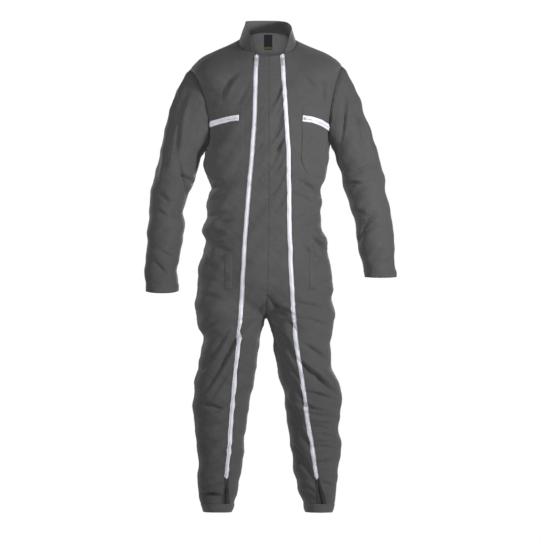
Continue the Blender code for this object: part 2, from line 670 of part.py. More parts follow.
def collar(front_edges, back_edges, cloth):
    """A standing band on the neckline, from one zip round the back to the other."""
    halves = []
    for side in SIDES:
        edge = np.concatenate([front_edges[side], back_edges[side][::-1][1:]])
        halves.append(collar_half(side, edge))
    (left, left_out), (right, right_out) = halves
    left[:, -1, 0] = right[:, -1, 0] = 0
    where = np.concatenate([left[:, :-1], right[:, ::-1]], 1)
    add_wall("collar", where, np.concatenate([left_out[:, :-1], right_out[:, ::-1]], 1), cloth)


def on_grid(grid, i, j):
    """Point and direction of a panel's own facets at fractional row i and column j."""
    found = []
    for values in grid:
        i0 = np.clip(np.floor(i).astype(int), 0, values.shape[0] - 2)
        j0 = np.clip(np.floor(j).astype(int), 0, values.shape[1] - 2)
        fi, fj = (i - i0)[..., None], (j - j0)[..., None]
        low = values[i0, j0] * (1 - fj) + values[i0, j0 + 1] * fj
        high = values[i0 + 1, j0] * (1 - fj) + values[i0 + 1, j0 + 1] * fj
        found.append(low * (1 - fi) + high * fi)
    return found[0], unit(found[1])


def row_at(v):
    """Fractional row whose centre-front height is v."""
    return np.interp(-np.asarray(v, float), -ROWS, np.arange(len(ROWS)))


def chest_pocket(side, grid, cloth):
    """The patch on the front side panel, cut round at its lower inner corner."""
    first, last = round(float(row_at(POCKET_TOP_V))), round(float(row_at(POCKET_BOTTOM_V)))
    i, j = np.meshgrid(np.arange(first, last + 1.0), np.arange(1.0, 6.0), indexing="ij")
    for k in range(POCKET_CORNER):
        drop = (POCKET_CORNER - k) / (POCKET_CORNER + 0.5)
        j[last - first - k, 0] += 1 - math.sqrt(1 - drop ** 2)
    where, normals = on_grid(grid, i, j)
    lift = OVERLAY_GAP + PATCH_WALL
    add_wall("chest_pocket_" + side, where + normals * lift, normals, cloth, PATCH_WALL)


def chest_zip_place(side, j):
    """Height of a chest zip's middle, and half its width, at panel column j."""
    return smooth(CHEST_ZIP[side], "z", j), smooth(CHEST_ZIP[side], "half", j)


def row_at_height(grid, j, z):
    """Fractional row at which panel column j has height z."""
    rows = np.arange(grid[0].shape[0], dtype=float)
    heights = on_grid(grid, rows, np.full(len(rows), float(j)))[0][:, 2]
    return float(np.interp(-z, -heights, rows))


def chest_zip(side, grid, tape):
    """The slanting tape on a chest pocket, from its inner edge to near the armhole."""
    columns = CHEST_ZIP_COLUMNS[side]
    i, j = np.zeros((2, len(columns))), np.tile(columns, (2, 1))
    for k, column in enumerate(columns):
        z, half = chest_zip_place(side, column)
        i[0, k] = row_at_height(grid, column, z + half)
        i[1, k] = row_at_height(grid, column, z - half)
    where, normals = on_grid(grid, i, j)
    lift = 2 * OVERLAY_GAP + PATCH_WALL + CHEST_ZIP_WALL
    add_wall("zip_chest_" + side, where + normals * lift, normals, tape, CHEST_ZIP_WALL)


def hip_welt(side, grid, cloth):
    """The narrow upright welt along the hip pocket's opening."""
    top, bottom = HIP_WELT[side]
    rows = np.arange(math.ceil(float(row_at(top))), math.floor(float(row_at(bottom))) + 1.0)
    i, j = np.meshgrid(rows, np.array(HIP_WELT_COLUMN[side]), indexing="ij")
    where, normals = on_grid(grid, i, j)
    lift = OVERLAY_GAP + 1.0
    add_wall("hip_welt_" + side, where + normals * lift, normals, cloth, 1.0)


def skin(name, stations, finish):
    """A solid through equal loops of points, closed at both ends."""
    count = len(stations[0])
    faces = [tuple(range(count))]
    for i in range(len(stations) - 1):
        for j in range(count):
            a, b = i * count + j, i * count + (j + 1) % count
            faces += [(a, b, b + count, a + count)]
    faces += [tuple(range((len(stations) - 1) * count, len(stations) * count))]
    return add_mesh(name, np.concatenate(stations), faces, finish, smooth_shade=False)


def slider_and_tab(kind, side, foot, outward, run, finish):
    """A slider standing on a zip, and the pull tab hinged between its cheeks."""
    run = unit(run - outward * (run @ outward))
    across = np.cross(run, outward)

    def at(x, s, h):
        return foot + across * x + run * s + outward * h

    stations = []
    for s, top, wide in ((-0.5, 0.15, 0.8), (-0.2, 1, 1), (0.12, 1, 1), (0.5, 0.1, 0.7)):
        w = SLIDER_WIDTH / 2 * wide
        high = SLIDER_BASE + (CHEEK_TOP - SLIDER_BASE) * top
        outer, inner = min(CHEEK_OUTER, w - 0.3), CHEEK_INNER
        profile = (
            (-w, 0), (w, 0), (w, SLIDER_BASE), (outer, SLIDER_BASE), (outer, high),
            (inner, high), (inner, SLIDER_BASE), (-inner, SLIDER_BASE), (-inner, high),
            (-outer, high), (-outer, SLIDER_BASE), (-w, SLIDER_BASE),
        )
        stations.append([at(x, s * SLIDER_LENGTH, h) for x, h in profile])
    skin(f"slider_{kind}_{side}", stations, finish)

    axis_s = -0.04 * SLIDER_LENGTH
    axis_h = SLIDER_BASE + TAB_CLEAR + TAB_THICK / 2
    stations = []
    for s, wide in ((-0.03, 0.8), (0.0, 1), (0.55, 0.8), (0.75, 1.1), (0.97, 1.1), (1, 0.7)):
        w, high = TAB_WIDTH / 2 * wide, TAB_THICK / 2 * (0.6 if s in (-0.03, 1) else 1)
        profile = ((-w, -high), (w, -high), (w, high), (-w, high))
        stations.append([at(x, axis_s + s * TAB_LENGTH, axis_h + h) for x, h in profile])
    tab = skin(f"pull_{kind}_{side}", stations, finish)
    hinge = at(0, axis_s, axis_h)
    tab.data.transform(Matrix.Translation(-Vector(hinge * MM)))
    tab.location = hinge * MM
    return hinge, across


def neck_label(cloth):
    """A bare strip that hangs inside the back neck, across the centre seam."""
    v = np.linspace(NECK_V, SHOULDER_TIP_V, 60)
    z = centre_z("back", v)
    rows = np.interp(-np.linspace(LABEL["top"], LABEL["bottom"], 4), -z, v)
    columns = []
    for side, distance in (("left", LABEL["left"]), ("left", 1.0), ("right", LABEL["right"])):
        t = np.full((len(rows), 1), 0.004)
        for _ in range(30):
            x = np.abs(base_point(side, "back", rows, t)[..., 0])
            t = t * distance / np.maximum(x, 1e-6)
        columns.append((body_point(side, "back", rows, t), body_normal(side, "back", rows, t)))
    where = np.concatenate([c[0] for c in columns], 1)
    normals = np.concatenate([c[1] for c in columns], 1)
    inside = where - normals * (WALL + OVERLAY_GAP)
    add_wall("neck_label", inside, normals, cloth, LABEL["thick"])


def front_slider(side, finish):
    """The slider at the top of a long zip, with its tab hanging down the tape."""
    v = np.array([FRONT_SLIDER_V, FRONT_SLIDER_V - 2 * SLIDER_LENGTH])
    t = place_at_x(side, v, smooth(ZIP_LINE, side, v))[:, None]
    foot, beyond = body_point(side, "front", v, t)[:, 0]
    outward = body_normal(side, "front", v, t)[0, 0]
    foot = foot + outward * SEAM_GAP
    return slider_and_tab("front", side, foot, outward, beyond - foot, finish)


def chest_slider(side, grid, finish):
    """The slider near the inner end of a chest zip, with its tab lying along the tape."""
    """The slider near the inner end of a chest zip, with its tab along the tape."""
    ends = []
    for j in (CHEST_SLIDER_COLUMN[side], CHEST_SLIDER_COLUMN[side] + 0.4):
        z, _ = chest_zip_place(side, j)
        ends.append(on_grid(grid, np.array(row_at_height(grid, j, z)), np.array(j)))
    (foot, outward), (beyond, _) = ends
    lift = 2 * OVERLAY_GAP + PATCH_WALL + CHEST_ZIP_WALL + SEAM_GAP
    return slider_and_tab("chest", side, foot + outward * lift, outward, beyond - foot, finish)


def build():
    """All pieces; returns each pull tab's hinge point and axis in millimetres."""
    for thing in list(bpy.data.objects):
        bpy.data.objects.remove(thing)
    cloth, dark = material("cloth", 0.85), material("gusset", 0.9)
    tape, hard = material("zip", 0.55), material("slider", 0.35)
    label = material("label", 0.8)
    hinges, front_edges, back_edges = {}, {}, {}
    for side in SIDES:
        grid = front_panels(side, cloth)
        front_edges[side] = grid[0][0]
        back_edges[side] = back_panel(side, cloth)[0]
        long_zip(side, tape)
        ankle_gusset(side, dark)
        hem_band(side, cloth)
        sleeve(side, cloth)
        chest_pocket(side, grid, cloth)
        chest_zip(side, grid, tape)
        hip_welt(side, grid, cloth)
        hinges["pull_front_" + side] = front_slider(side, hard)
        hinges["pull_chest_" + side] = chest_slider(side, grid, hard)
    collar(front_edges, back_edges, cloth)
    neck_label(label)
    return hinges


# Where the pull tabs turn, in millimetres.
HINGES = build()
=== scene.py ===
"""Boiler suit, dressed: fine cloth shells on the part's own form, creased, sewn and zipped.

Tables hold millimetres in the part's frame; the front faces -Y. "left" is the side at -X.
"""

import math

import bmesh
import bpy
import numpy as np
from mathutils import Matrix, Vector


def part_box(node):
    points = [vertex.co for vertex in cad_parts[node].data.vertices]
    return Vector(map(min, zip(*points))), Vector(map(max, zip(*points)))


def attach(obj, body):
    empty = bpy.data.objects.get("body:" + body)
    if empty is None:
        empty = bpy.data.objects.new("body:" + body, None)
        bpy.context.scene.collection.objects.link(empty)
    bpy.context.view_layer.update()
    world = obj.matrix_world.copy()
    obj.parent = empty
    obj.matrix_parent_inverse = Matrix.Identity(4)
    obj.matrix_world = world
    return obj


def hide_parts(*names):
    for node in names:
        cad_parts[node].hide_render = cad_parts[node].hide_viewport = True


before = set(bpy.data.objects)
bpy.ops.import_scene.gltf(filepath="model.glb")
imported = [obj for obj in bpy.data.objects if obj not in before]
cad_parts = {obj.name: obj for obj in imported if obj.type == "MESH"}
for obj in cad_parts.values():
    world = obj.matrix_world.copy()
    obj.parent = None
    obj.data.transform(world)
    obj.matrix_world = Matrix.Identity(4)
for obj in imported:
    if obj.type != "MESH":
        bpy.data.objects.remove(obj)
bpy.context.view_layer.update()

MM = 0.001
SIDES = {"left": -1, "right": 1}

# Heights of the centre front, which name the rows of every body panel.
NECK_V = 10.0
SHOULDER_TIP_V = -60.0
CHEST_V = -285.0
HIP_V = -700.0
FORK_V = -826.0
ZIP_END_V = -1338.0
HEM_V = -1420.0
BAND_END_V = -1446.0
# How far from the middle the turn from torso to legs is steep, as a share of the row.
FORK_REACH = 0.35

# Outer edge of torso and leg, seen from the front: height, distance from the middle.
OUTLINE = {
    "left": (
        ("z", "out"),
        (-266, 200), (-288, 199), (-336, 205), (-384, 195), (-413, 183), (-432, 192),
        (-461, 198), (-490, 195), (-528, 205), (-547, 211), (-576, 202), (-614, 208),
        (-659, 218), (-720, 224), (-774, 234), (-826, 228), (-854, 221), (-886, 209),
        (-925, 214), (-960, 218), (-989, 222), (-1008, 232), (-1066, 240), (-1104, 243),
        (-1142, 238), (-1184, 234), (-1232, 230), (-1315, 221), (-1360, 224),
        (-1402, 221), (-1424, 215), (-1450, 206),
    ),
    "right": (
        ("z", "out"),
        (-260, 202), (-278, 199), (-304, 195), (-339, 189), (-387, 179), (-416, 171),
        (-454, 176), (-493, 167), (-538, 173), (-573, 188), (-608, 190), (-640, 195),
        (-694, 202), (-736, 208), (-758, 205), (-797, 211), (-861, 205), (-915, 199),
        (-960, 202), (-1008, 214), (-1046, 229), (-1085, 237), (-1114, 234),
        (-1168, 230), (-1264, 234), (-1309, 227), (-1344, 221), (-1373, 218),
        (-1398, 214), (-1430, 209), (-1450, 200),
    ),
}
# Inner edge of each leg, below the fork.
INSEAM = {
    "left": (
        ("z", "in"),
        (-826, 9), (-848, 16), (-928, 29), (-989, 42), (-1066, 54), (-1142, 67),
        (-1216, 77), (-1296, 83), (-1354, 90), (-1392, 97), (-1421, 107), (-1450, 119),
    ),
    "right": (
        ("z", "in"),
        (-826, -3), (-858, 6), (-915, 16), (-998, 32), (-1078, 51), (-1168, 64),
        (-1219, 70), (-1290, 77), (-1347, 90), (-1402, 103), (-1421, 110), (-1450, 119),
    ),
}
# Depth of the body: y of the centre front, the side seam and the centre back.
DEPTH = (
    ("z", "front", "side", "back"),
    (92, -80, -5, 64), (10, -92, -4, 94), (-60, -112, 0, 108), (-150, -128, 0, 118),
    (-285, -135, 0, 119), (-350, -132, 0, 110), (-415, -125, 0, 98), (-480, -128, 0, 104),
    (-560, -134, 0, 122), (-640, -136, 2, 138), (-720, -134, 4, 143), (-826, -124, 6, 126),
    (-900, -112, 6, 114), (-990, -100, 6, 99), (-1100, -86, 12, 104), (-1200, -78, 14, 103),
    (-1300, -70, 14, 93), (-1400, -64, 12, 84), (-1450, -60, 12, 80),
)
# Centre seam: it runs a little to the left towards the fork.
CENTRE = (("z", "x"), (92, 0), (-500, 0), (-650, -2), (-826, -6), (-1450, -6))
# Middle line of each long zip.
ZIP_LINE = (
    ("z", "left", "right"),
    (10, 36, 46), (-96, 40, 53), (-192, 43, 59), (-288, 50, 65), (-384, 58, 67), (-480, 66, 68),
    (-576, 73, 70), (-672, 79, 74), (-768, 83, 79), (-864, 90, 86), (-960, 99, 99),
    (-1056, 108, 114), (-1152, 115, 127), (-1248, 123, 143), (-1338, 132, 156), (-1420, 133, 170),
    (-1450, 134, 173),
)
# Half the width of the slot that zip and gusset fill.
SLOT_HALF = (
    ("z", "left", "right"),
    (10, 7.5, 7.5), (-96, 7.3, 7.3), (-192, 7.3, 7.3), (-1248, 7.3, 7.3), (-1338, 7.3, 7.3),
    (-1420, 13, 16), (-1450, 13, 16),
)
# Shoulder tip and underarm of each side, and how far the armhole curves in.
ARMHOLE = {
    "left": {"tip": (250, 5, -30), "underarm": (200, 0, -284),
             "front_in": (30, 58), "back_in": (14, 34)},
    "right": {"tip": (238, 5, -20), "underarm": (199, 0, -268),
              "front_in": (16, 32), "back_in": (6, 20)},
}
ARMHOLE_FORWARD = 74.0
ARMHOLE_RISE = (30.0, -60.0)
NECK_POINT = {"left": (94, -5, 56), "right": (92, -5, 53)}
SHOULDER_ARCH = {"left": 14.0, "right": 13.0}
UNDERARM_BLEND = 80.0
BACK_Z_AT_TIP = 0.0
BACK_NECK_Z = 92.0
# Direction in which front and back reach armhole (0 to 1) and shoulder seam (1 to 2).
ARRIVAL = (
    ("q", "out", "back", "front_up", "back_up"),
    (0, 0.0, 1.0, 0.0, 0.0), (0.3, 0.75, 0.65, 0.05, 0.0), (0.6, 0.75, 0.62, 0.2, 0.1),
    (0.85, 0.5, 0.75, 0.4, -0.05), (1, 0.15, 0.95, 0.22, -0.22),
    (1.5, 0.05, 0.95, 0.25, -0.25), (2, 0.0, 0.9, 0.42, -0.42),
)
HANDLE = 0.58
ARRIVAL_HANDLE = 0.34

# Sleeves: outer and inner edge seen from the front, from below the underarm to the wrist.
SLEEVE = {
    "left": (
        ("z", "out", "in"),
        (-326, 353, 219), (-346, 358, 225), (-378, 365, 231), (-413, 372, 243),
        (-451, 379, 259), (-490, 384, 271), (-531, 387, 270), (-586, 387, 275),
        (-630, 389, 282), (-656, 391, 287), (-698, 393, 286), (-738, 389, 286),
    ),
    "right": (
        ("z", "out", "in"),
        (-326, 359, 225), (-368, 368, 234), (-413, 377, 244), (-458, 388, 259),
        (-509, 397, 272), (-586, 404, 285), (-643, 408, 298), (-694, 410, 307),
    ),
}
SLEEVE_TOP_Z = -326.0
SLEEVE_DEPTH = (
    ("z", "half", "mid"),
    (-326, 77, 0), (-400, 74, -5), (-480, 70, -13), (-560, 62, -26), (-640, 54, -40),
    (-700, 48, -50), (-740, 45, -55),
)
SLEEVE_GAP = 0.6
# How far the head of each sleeve stands out and up at the shoulder, and how full it is.
SLEEVE_HEAD = {"left": (0.18, 0.12, 0.05), "right": (0.16, 0.1, -0.05)}

# Collar: its top edge from the middle of the back (0) to the zip (1).
COLLAR = (
    ("q", "left", "left_z", "right", "right_z", "y"),
    (0, 0, 128, 0, 128, 55), (0.2, 34, 128, 34, 127, 50), (0.4, 62, 126, 60, 122, 25),
    (0.56, 69, 124, 70, 114, -5), (0.8, 71, 121, 75, 104, -45), (1, 70, 119, 76, 98, -76),
)
COLLAR_BULGE = 0.5
NECK_AXIS_Y = -10.0
COLLAR_STEPS = 16

# Inner edge of the chest pocket patches.
POCKET_INNER = (
    ("z", "left", "right"),
    (10, 76, 95), (-130, 79, 111), (-240, 77, 108), (-340, 80, 104), (-450, 98, 108),
    (-640, 112, 112),
)

# Largest folds: x and z of one end, run across and up, half-width and depth of the trough.
FOLDS = {"front": (
    (-208, -372, 63, -20, 11, 6), (-200, -503, 70, 15, 12, 5), (-200, -545, 60, -11, 11, 6),
    (-178, -592, 66, -24, 12, 4), (-204, -622, 36, -46, 12, 4), (100, -388, 70, -46, 13, 8),
    (116, -526, 48, 32, 11, 5), (140, -562, 48, -54, 13, 8), (138, -668, 38, 42, 13, 5),
    (88, -776, 98, -20, 12, 6), (132, -866, 44, 54, 13, 4), (4, -764, 88, -102, 12, 8),
    (-10, -780, -84, -104, 13, 7), (8, -838, 80, -98, 12, 6), (52, -236, -38, -102, 11, 4),
    (50, -158, -34, -86, 11, 4), (-92, -876, -110, -188, 15, 7), (-126, -862, -80, -128, 15, 6),
    (-228, -1092, 92, -30, 13, 5), (114, -908, 72, -48, 12, 6), (110, -972, 116, -104, 15, 10),
    (116, -1060, 108, -30, 13, 6), (18, -900, 80, -126, 13, 6), (46, -1060, 64, -120, 13, 5),
    (58, -1216, 84, -100, 14, 7), (130, -1170, 70, -10, 11, 4), (140, -1236, 74, -4, 11, 4),
    (150, -1300, 72, 38, 12, 4), (-218, -1386, 72, -6, 11, 9), (-120, -1190, -100, -50, 14, 4),
    (106, -1376, 44, -28, 10, 4), (-272, -374, 38, -22, 12, 8), (-284, -332, 26, -104, 11, 6),
    (-350, -424, 38, -38, 12, 4), (-308, -502, 42, 18, 12, 6), (-370, -640, 50, -50, 12, 4),
    (224, -396, 60, 2, 12, 8), (238, -380, 108, 48, 12, 5), (252, -486, 52, -2, 11, 7),
    (292, -520, 64, 36, 12, 5), (282, -600, 34, 80, 12, 4), (250, -106, -18, -156, 13, 5),
    (-292, -64, -24, -222, 14, 4),
), "back": (
    (-190, -408, 380, -6, 12, 6), (-178, -446, 348, 8, 12, 6), (-186, -484, 166, 8, 13, 5),
    (14, -478, 162, -8, 13, 5), (-30, -520, -166, -40, 14, 4), (30, -524, 156, -42, 14, 4),
    (-14, -770, -166, -80, 15, 7), (6, -770, 170, -76, 15, 7), (-30, -850, -120, -80, 15, 6),
    (26, -850, 124, -76, 15, 6), (-220, -990, 130, -30, 14, 7), (-212, -1040, 142, -10, 14, 7),
    (60, -1010, 148, 20, 14, 7), (80, -1050, 146, 4, 14, 7), (-230, -1330, 100, -20, 13, 6),
    (120, -1340, 100, 14, 13, 6), (-150, -120, 40, -180, 16, 5), (146, -120, -34, -180, 16, 5),
    (-370, -440, 90, -30, 13, 6), (270, -450, 114, 20, 13, 6), (-380, -500, 90, -20, 13, 5),
    (280, -500, 116, 0, 13, 5),
)}
# Smaller creases: one end, run, sideways bend in the middle, half-width and depth.
CREASES = {"front": (
    (-94, -37, -52, -85, -6, 14, 3.5), (-60, -70, -44, -80, 4, 10, 1.5),
    (44, -74, -32, -76, 5, 8, 2.2), (48, -118, -34, -78, 4, 7, 1.6),
    (46, -196, -34, -66, 5, 7, 2.4), (50, -250, -40, -62, 4, 7, 2.2),
    (52, -300, -40, -72, 5, 8, 2.6), (56, -352, -42, -78, 5, 8, 2.0),
    (58, -420, -38, -70, 4, 8, 1.6), (-14, -150, -18, -20, 1, 5, 1.0),
    (-12, -210, -22, -28, 1, 5, 1.2), (-12, -262, -24, -28, 1, 5, 1.2),
    (-12, -316, -26, -22, 1, 5, 1.2), (-14, -366, -28, -30, 1, 5, 1.2),
    (133, -474, 43, 22, 3, 9, 3), (96, -512, 46, 26, 3, 9, 2.4), (80, -430, 70, -32, 4, 10, 2.4),
    (-196, -420, 46, 16, 3, 9, 3), (-190, -450, 52, 10, 3, 10, 2.4), (-172, -522, 54, 8, 3, 9, 2),
    (-196, -576, 60, -8, -3, 10, 2.6), (128, -540, 50, -16, 4, 9, 2.4),
    (108, -600, 60, -40, 4, 10, 2), (150, -712, 50, 12, 3, 10, 2.2),
    (-214, -690, 46, -16, 3, 10, 2.2), (-222, -744, 72, -22, 4, 11, 2.4),
    (96, -826, 94, -26, 5, 10, 2.6), (30, -786, 80, -52, 4, 9, 2.6),
    (-34, -800, -86, -56, -4, 9, 2.4), (-60, -842, -80, -118, -6, 10, 2.8),
    (-150, -826, -62, -54, -3, 10, 2.4), (-46, -900, -50, -110, -5, 11, 2.6),
    (-90, -960, -90, -120, -5, 12, 2.8), (-72, -1040, -58, -90, -4, 11, 2.4),
    (-128, -1100, -98, -40, 5, 11, 2.8), (-120, -1150, -94, -26, 4, 11, 2.4),
    (-98, -1220, -98, -70, 5, 12, 2.6), (-112, -1290, -98, -40, 4, 11, 2.4),
    (-140, -1350, -74, -18, 4, 9, 3), (40, -866, 56, -124, 5, 10, 2.6),
    (74, -936, 86, -104, 6, 11, 2.8), (60, -1000, 60, -110, 5, 11, 2.6),
    (90, -1090, 110, -40, -5, 11, 3), (110, -1124, 114, -16, -4, 9, 2.8),
    (140, -1156, 82, -4, -3, 7, 2.2), (150, -1196, 68, -10, 3, 7, 2.2),
    (146, -1222, 66, 0, 3, 6, 1.8), (156, -1258, 64, 2, 3, 6, 2), (150, -1282, 64, 4, -3, 6, 1.8),
    (160, -1320, 58, 12, 3, 7, 2), (76, -1150, 58, -90, 5, 10, 2.6),
    (88, -1270, 62, -80, 5, 10, 2.6), (172, -1352, 42, -12, 3, 8, 2.6),
    (104, -1350, 48, -34, 3, 8, 2.6), (-272, -372, 32, -16, 2, 6, 3),
    (-300, -200, -26, -140, -8, 14, 3), (-262, -110, -30, -190, -8, 14, 2.6),
    (-330, -210, -22, -170, -6, 12, 2.4), (-288, -500, 26, 14, 2, 7, 3),
    (-372, -470, 54, -38, 4, 10, 2.4), (-360, -560, 60, 20, 4, 10, 2.2),
    (-350, -610, 54, -30, 3, 9, 2), (240, -402, 60, 10, 3, 7, 3), (262, -430, 68, 26, 4, 9, 2.6),
    (270, -140, 30, -160, 8, 14, 3), (310, -190, 30, -150, 8, 13, 2.6),
    (300, -560, 66, 40, 4, 9, 2.4), (320, -640, 60, 40, 3, 10, 2), (254, -500, 42, -12, 3, 7, 2.6),
    (350, -660, 42, 20, 3, 9, 1.8), (86, -30, 64, -80, 8, 14, 2.6), (170, -60, 8, -90, 4, 12, 3),
), "back": (
    (-60, -60, -20, -190, 6, 16, 3), (64, -60, 20, -200, -6, 16, 3),
    (-200, -180, 30, -160, 6, 13, 3.4), (196, -180, -26, -160, -6, 13, 3.4),
    (-170, -392, 150, -6, 3, 9, 2.6), (12, -396, 156, 4, 3, 9, 2.4),
    (-164, -428, 124, 4, 3, 8, 2.6), (26, -424, 132, -4, -3, 8, 2.4),
    (-176, -462, 116, -8, 3, 9, 2.6), (40, -466, 130, 6, 3, 9, 2.4),
    (-190, -540, 110, -40, 5, 12, 2.6), (70, -560, 110, -46, 5, 12, 2.6),
    (-40, -800, -150, -100, 8, 12, 3.4), (34, -796, 152, -98, -8, 12, 3.4),
    (-60, -880, -130, -80, 7, 12, 3), (56, -880, 134, -70, -7, 12, 3),
    (-216, -1014, 106, -22, 4, 10, 3), (90, -1030, 124, 12, 4, 10, 3),
    (-200, -1080, 110, -20, 4, 11, 2.8), (96, -1090, 114, 10, 4, 11, 2.8),
    (-210, -1180, 100, -50, 6, 12, 2.4), (110, -1200, 104, -50, 6, 12, 2.4),
    (-216, -1290, 96, -20, 4, 11, 3), (130, -1310, 86, 14, 4, 11, 3),
    (-210, -1370, 80, -16, 3, 9, 3), (130, -1386, 80, 14, 3, 9, 3),
    (-330, -200, -16, -180, -6, 14, 2.8), (320, -180, 26, -180, 6, 14, 2.8),
    (-370, -540, 80, -20, 4, 10, 2.8), (290, -540, 100, -6, 4, 10, 2.8),
)}
CREASE_STRENGTH = 2.7
CREASE_WIDTH = 0.62
# The sharp bottom of each large fold, as shares of its width and depth.
BITE = {"bend": 0.3, "width": 0.55, "depth": 1.05}
# How high, how far off and how wide the ridge beside a trough is, and how sharp the trough.
FOLD_FORM = (0.55, 1.9, 1.2, 2)
CREASE_FORM = (0.6, 1.7, 1.1, 1.5)
# How far folds run on past their ends, as a share of their length.
FOLD_REACH = 0.25
# Slight unevenness: waves to a metre across and up, phase, depth.
RIPPLES = (
    (6.3, 0.8, 2.1, 1.8), (-4.1, 5.7, 0.4, 1.7), (11.0, -9.0, 4.4, 1.2), (5.0, 15.0, 1.3, 1.1),
    (-21.0, 12.0, 5.2, 0.5), (24.0, 25.0, 3.3, 0.35),
)
# How far down from the neck the cloth lies plain, under the pull tabs.
TAB_REACH = 36.0
# Peak of s (1 - s) (1 - s), turned over.
ARCH_SCALE = 6.75

# How far creases fade below the tabs and the neck, and by height and along the row at the
# fork and armhole.
TAB_FADE = 40.0
NECK_FADE = 30.0
FORK_FADE = (16.0, 0.7)
ARMHOLE_FADE = (20.0, 0.09)
# Grid steps, thickness of the cloth, and how deep and wide seams dip and pucker.
FINE = 4.5
SHELL = 1.8
SEAM_DIP = 1.3
SEAM_WIDTH = 2.6
PUCKER = 0.5
# About how wide each panel is, which sets the number of its columns.
PANEL_WIDTH = {"centre": 62, "side": 165, "back": 290}
TAPE_COLUMNS = 9
GUSSET_COLUMNS = 15
# How deep the middle of a tape lies in its slot, and how much it crowns.
TAPE_SUNK = 1.9
TAPE_CROWN = 0.6
# Reach of the curves between armhole and sleeve, as a share of their span, and less on top.
SLEEVE_FALL = 0.75
SLEEVE_TURN = 0.22
# Ribs of the twill to a metre, in the wave texture's own measure.
RIB_SCALE = 0.444 / 0.0011
SLEEVE_AROUND = 112
SLEEVE_HEAD_ROWS = 46
# How much lower each cuff hangs in front.
CUFF_DIP = {"left": 8.0, "right": 3.0}
# The short slit in front of each wrist: its place across and its top end.
CUFF_SLIT = {"left": (-286.0, -662.0), "right": (321.5, -659.0)}
# How much the top of each sleeve fills out below the armhole.
TOP_SWELL = 6.5
STITCH = {"pitch": 3.6, "long": 2.9, "wide": 0.8, "high": 0.55}
STITCH_FACES = (
    (0, 2, 4), (0, 4, 3), (0, 3, 5), (0, 5, 2), (1, 4, 2), (1, 3, 4), (1, 5, 3), (1, 2, 5),
)
TOOTH = {"pitch": 2.6, "across": 3.6, "along": 0.85, "high": 1.5}
TOOTH_FACES = ((0, 3, 2, 1), (4, 5, 6, 7), (0, 1, 5, 4), (1, 2, 6, 5), (2, 3, 7, 6), (3, 0, 4, 7))

# Chest pockets: lower edge by distance from the middle, and the zip on each with its half-width.
POCKET_LOW = {
    "left": ((80, -316), (88, -346), (100, -368), (118, -386), (147, -403), (172, -409),
             (205, -412)),
    "right": ((100, -300), (102, -336), (108, -356), (118, -368), (140, -374), (165, -378),
              (205, -384)),
}
POCKET_TOP_Z = {"left": -143, "right": -147}
# Distance from the middle at which the pockets run out.
POCKET_REACH = 186
CHEST_ZIP_LINE = {
    "left": ((92, -187.5, 8.8), (120, -190.5, 9.0), (150, -197.5, 9.0), (184, -207, 9.4)),
    "right": ((111, -189.5, 9.8), (140, -193, 9.8), (170, -203, 10.2), (193, -217, 10.6)),
}
# Each hip patch: inner and outer edge, top and bottom.
HIP_LINE = {"left": (116, 139, -622, -734), "right": (131, 153, -596, -734)}
# Rows of faces of the label that hold its woven bar.
LABEL_BAR = (17, 18, 19)

# Each sheet by the solid it stands for: its name, slot, thickness in mm, what holds it, and
# the cut that shows on the left and on the right: width and length in m, area in m2.
PIECES = {
    "front_centre": (
        "cloth_front_centre", "cloth", SHELL, "tape_front_{side}",
        (0.153, 1.538, 0.1114), (0.162, 1.544, 0.1329)),
    "front_side": (
        "cloth_front_side", "cloth", SHELL, "wearer_shoulders",
        (0.261, 1.658, 0.2884), (0.241, 1.654, 0.2615)),
    "back": (
        "cloth_back", "cloth", SHELL, "wearer_shoulders",
        (0.367, 1.707, 0.4255), (0.362, 1.712, 0.4138)),
    "zip_front": (
        "tape_front", "zip_tape", 1.0, "cloth_front_side_{side}",
        (0.027, 1.399, 0.0214), (0.018, 1.406, 0.0211)),
    "ankle_gusset": (
        "cloth_gusset", "gusset", 1.6, "cloth_front_side_{side}",
        (0.038, 0.09, 0.0024), (0.039, 0.092, 0.0025)),
    "hem_band": (
        "cloth_hem", "cloth", 3.0, "cloth_back_{side}",
        (0.41, 0.031, 0.0115), (0.398, 0.031, 0.0115)),
    "sleeve": (
        "cloth_sleeve", "cloth", SHELL, "cloth_back_{side}",
        (0.604, 0.744, 0.2564), (0.584, 0.715, 0.247)),
    "chest_pocket": (
        "cloth_pocket", "cloth", 1.2, "cloth_front_side_{side}",
        (0.225, 0.317, 0.0348), (0.183, 0.264, 0.0252)),
    "zip_chest": (
        "tape_chest", "zip_tape", 1.0, "cloth_pocket_{side}",
        (0.117, 0.02, 0.002), (0.115, 0.023, 0.0021)),
    "hip_welt": (
        "cloth_welt", "cloth", 0.9, "cloth_front_side_{side}",
        (0.026, 0.113, 0.0028), (0.032, 0.148, 0.004)),
    "collar": ("cloth_collar", "cloth", 2.4, "cloth_back_left", (0.459, 0.107, 0.024)),
    "neck_label": ("neck_label_satin", "label", 0.5, "cloth_back_left", (0.027, 0.052, 0.0014)),
}


def smooth(table, name, at):
    """A column of a table at any first-column value, as a smooth curve through its rows."""
    head = table[0]
    rows = np.array(table[1:], float)
    rows = rows[np.argsort(rows[:, 0])]
    x, y = rows[:, 0], rows[:, head.index(name)]
    slope = np.gradient(y, x)
    at = np.clip(at, x[0], x[-1])
    i = np.clip(np.searchsorted(x, at) - 1, 0, len(x) - 2)
    step = x[i + 1] - x[i]
    t = (at - x[i]) / step
    return (
        (1 + 2 * t) * (1 - t) ** 2 * y[i] + t * (1 - t) ** 2 * step * slope[i]
        + t * t * (3 - 2 * t) * y[i + 1] + t * t * (t - 1) * step * slope[i + 1]
    )


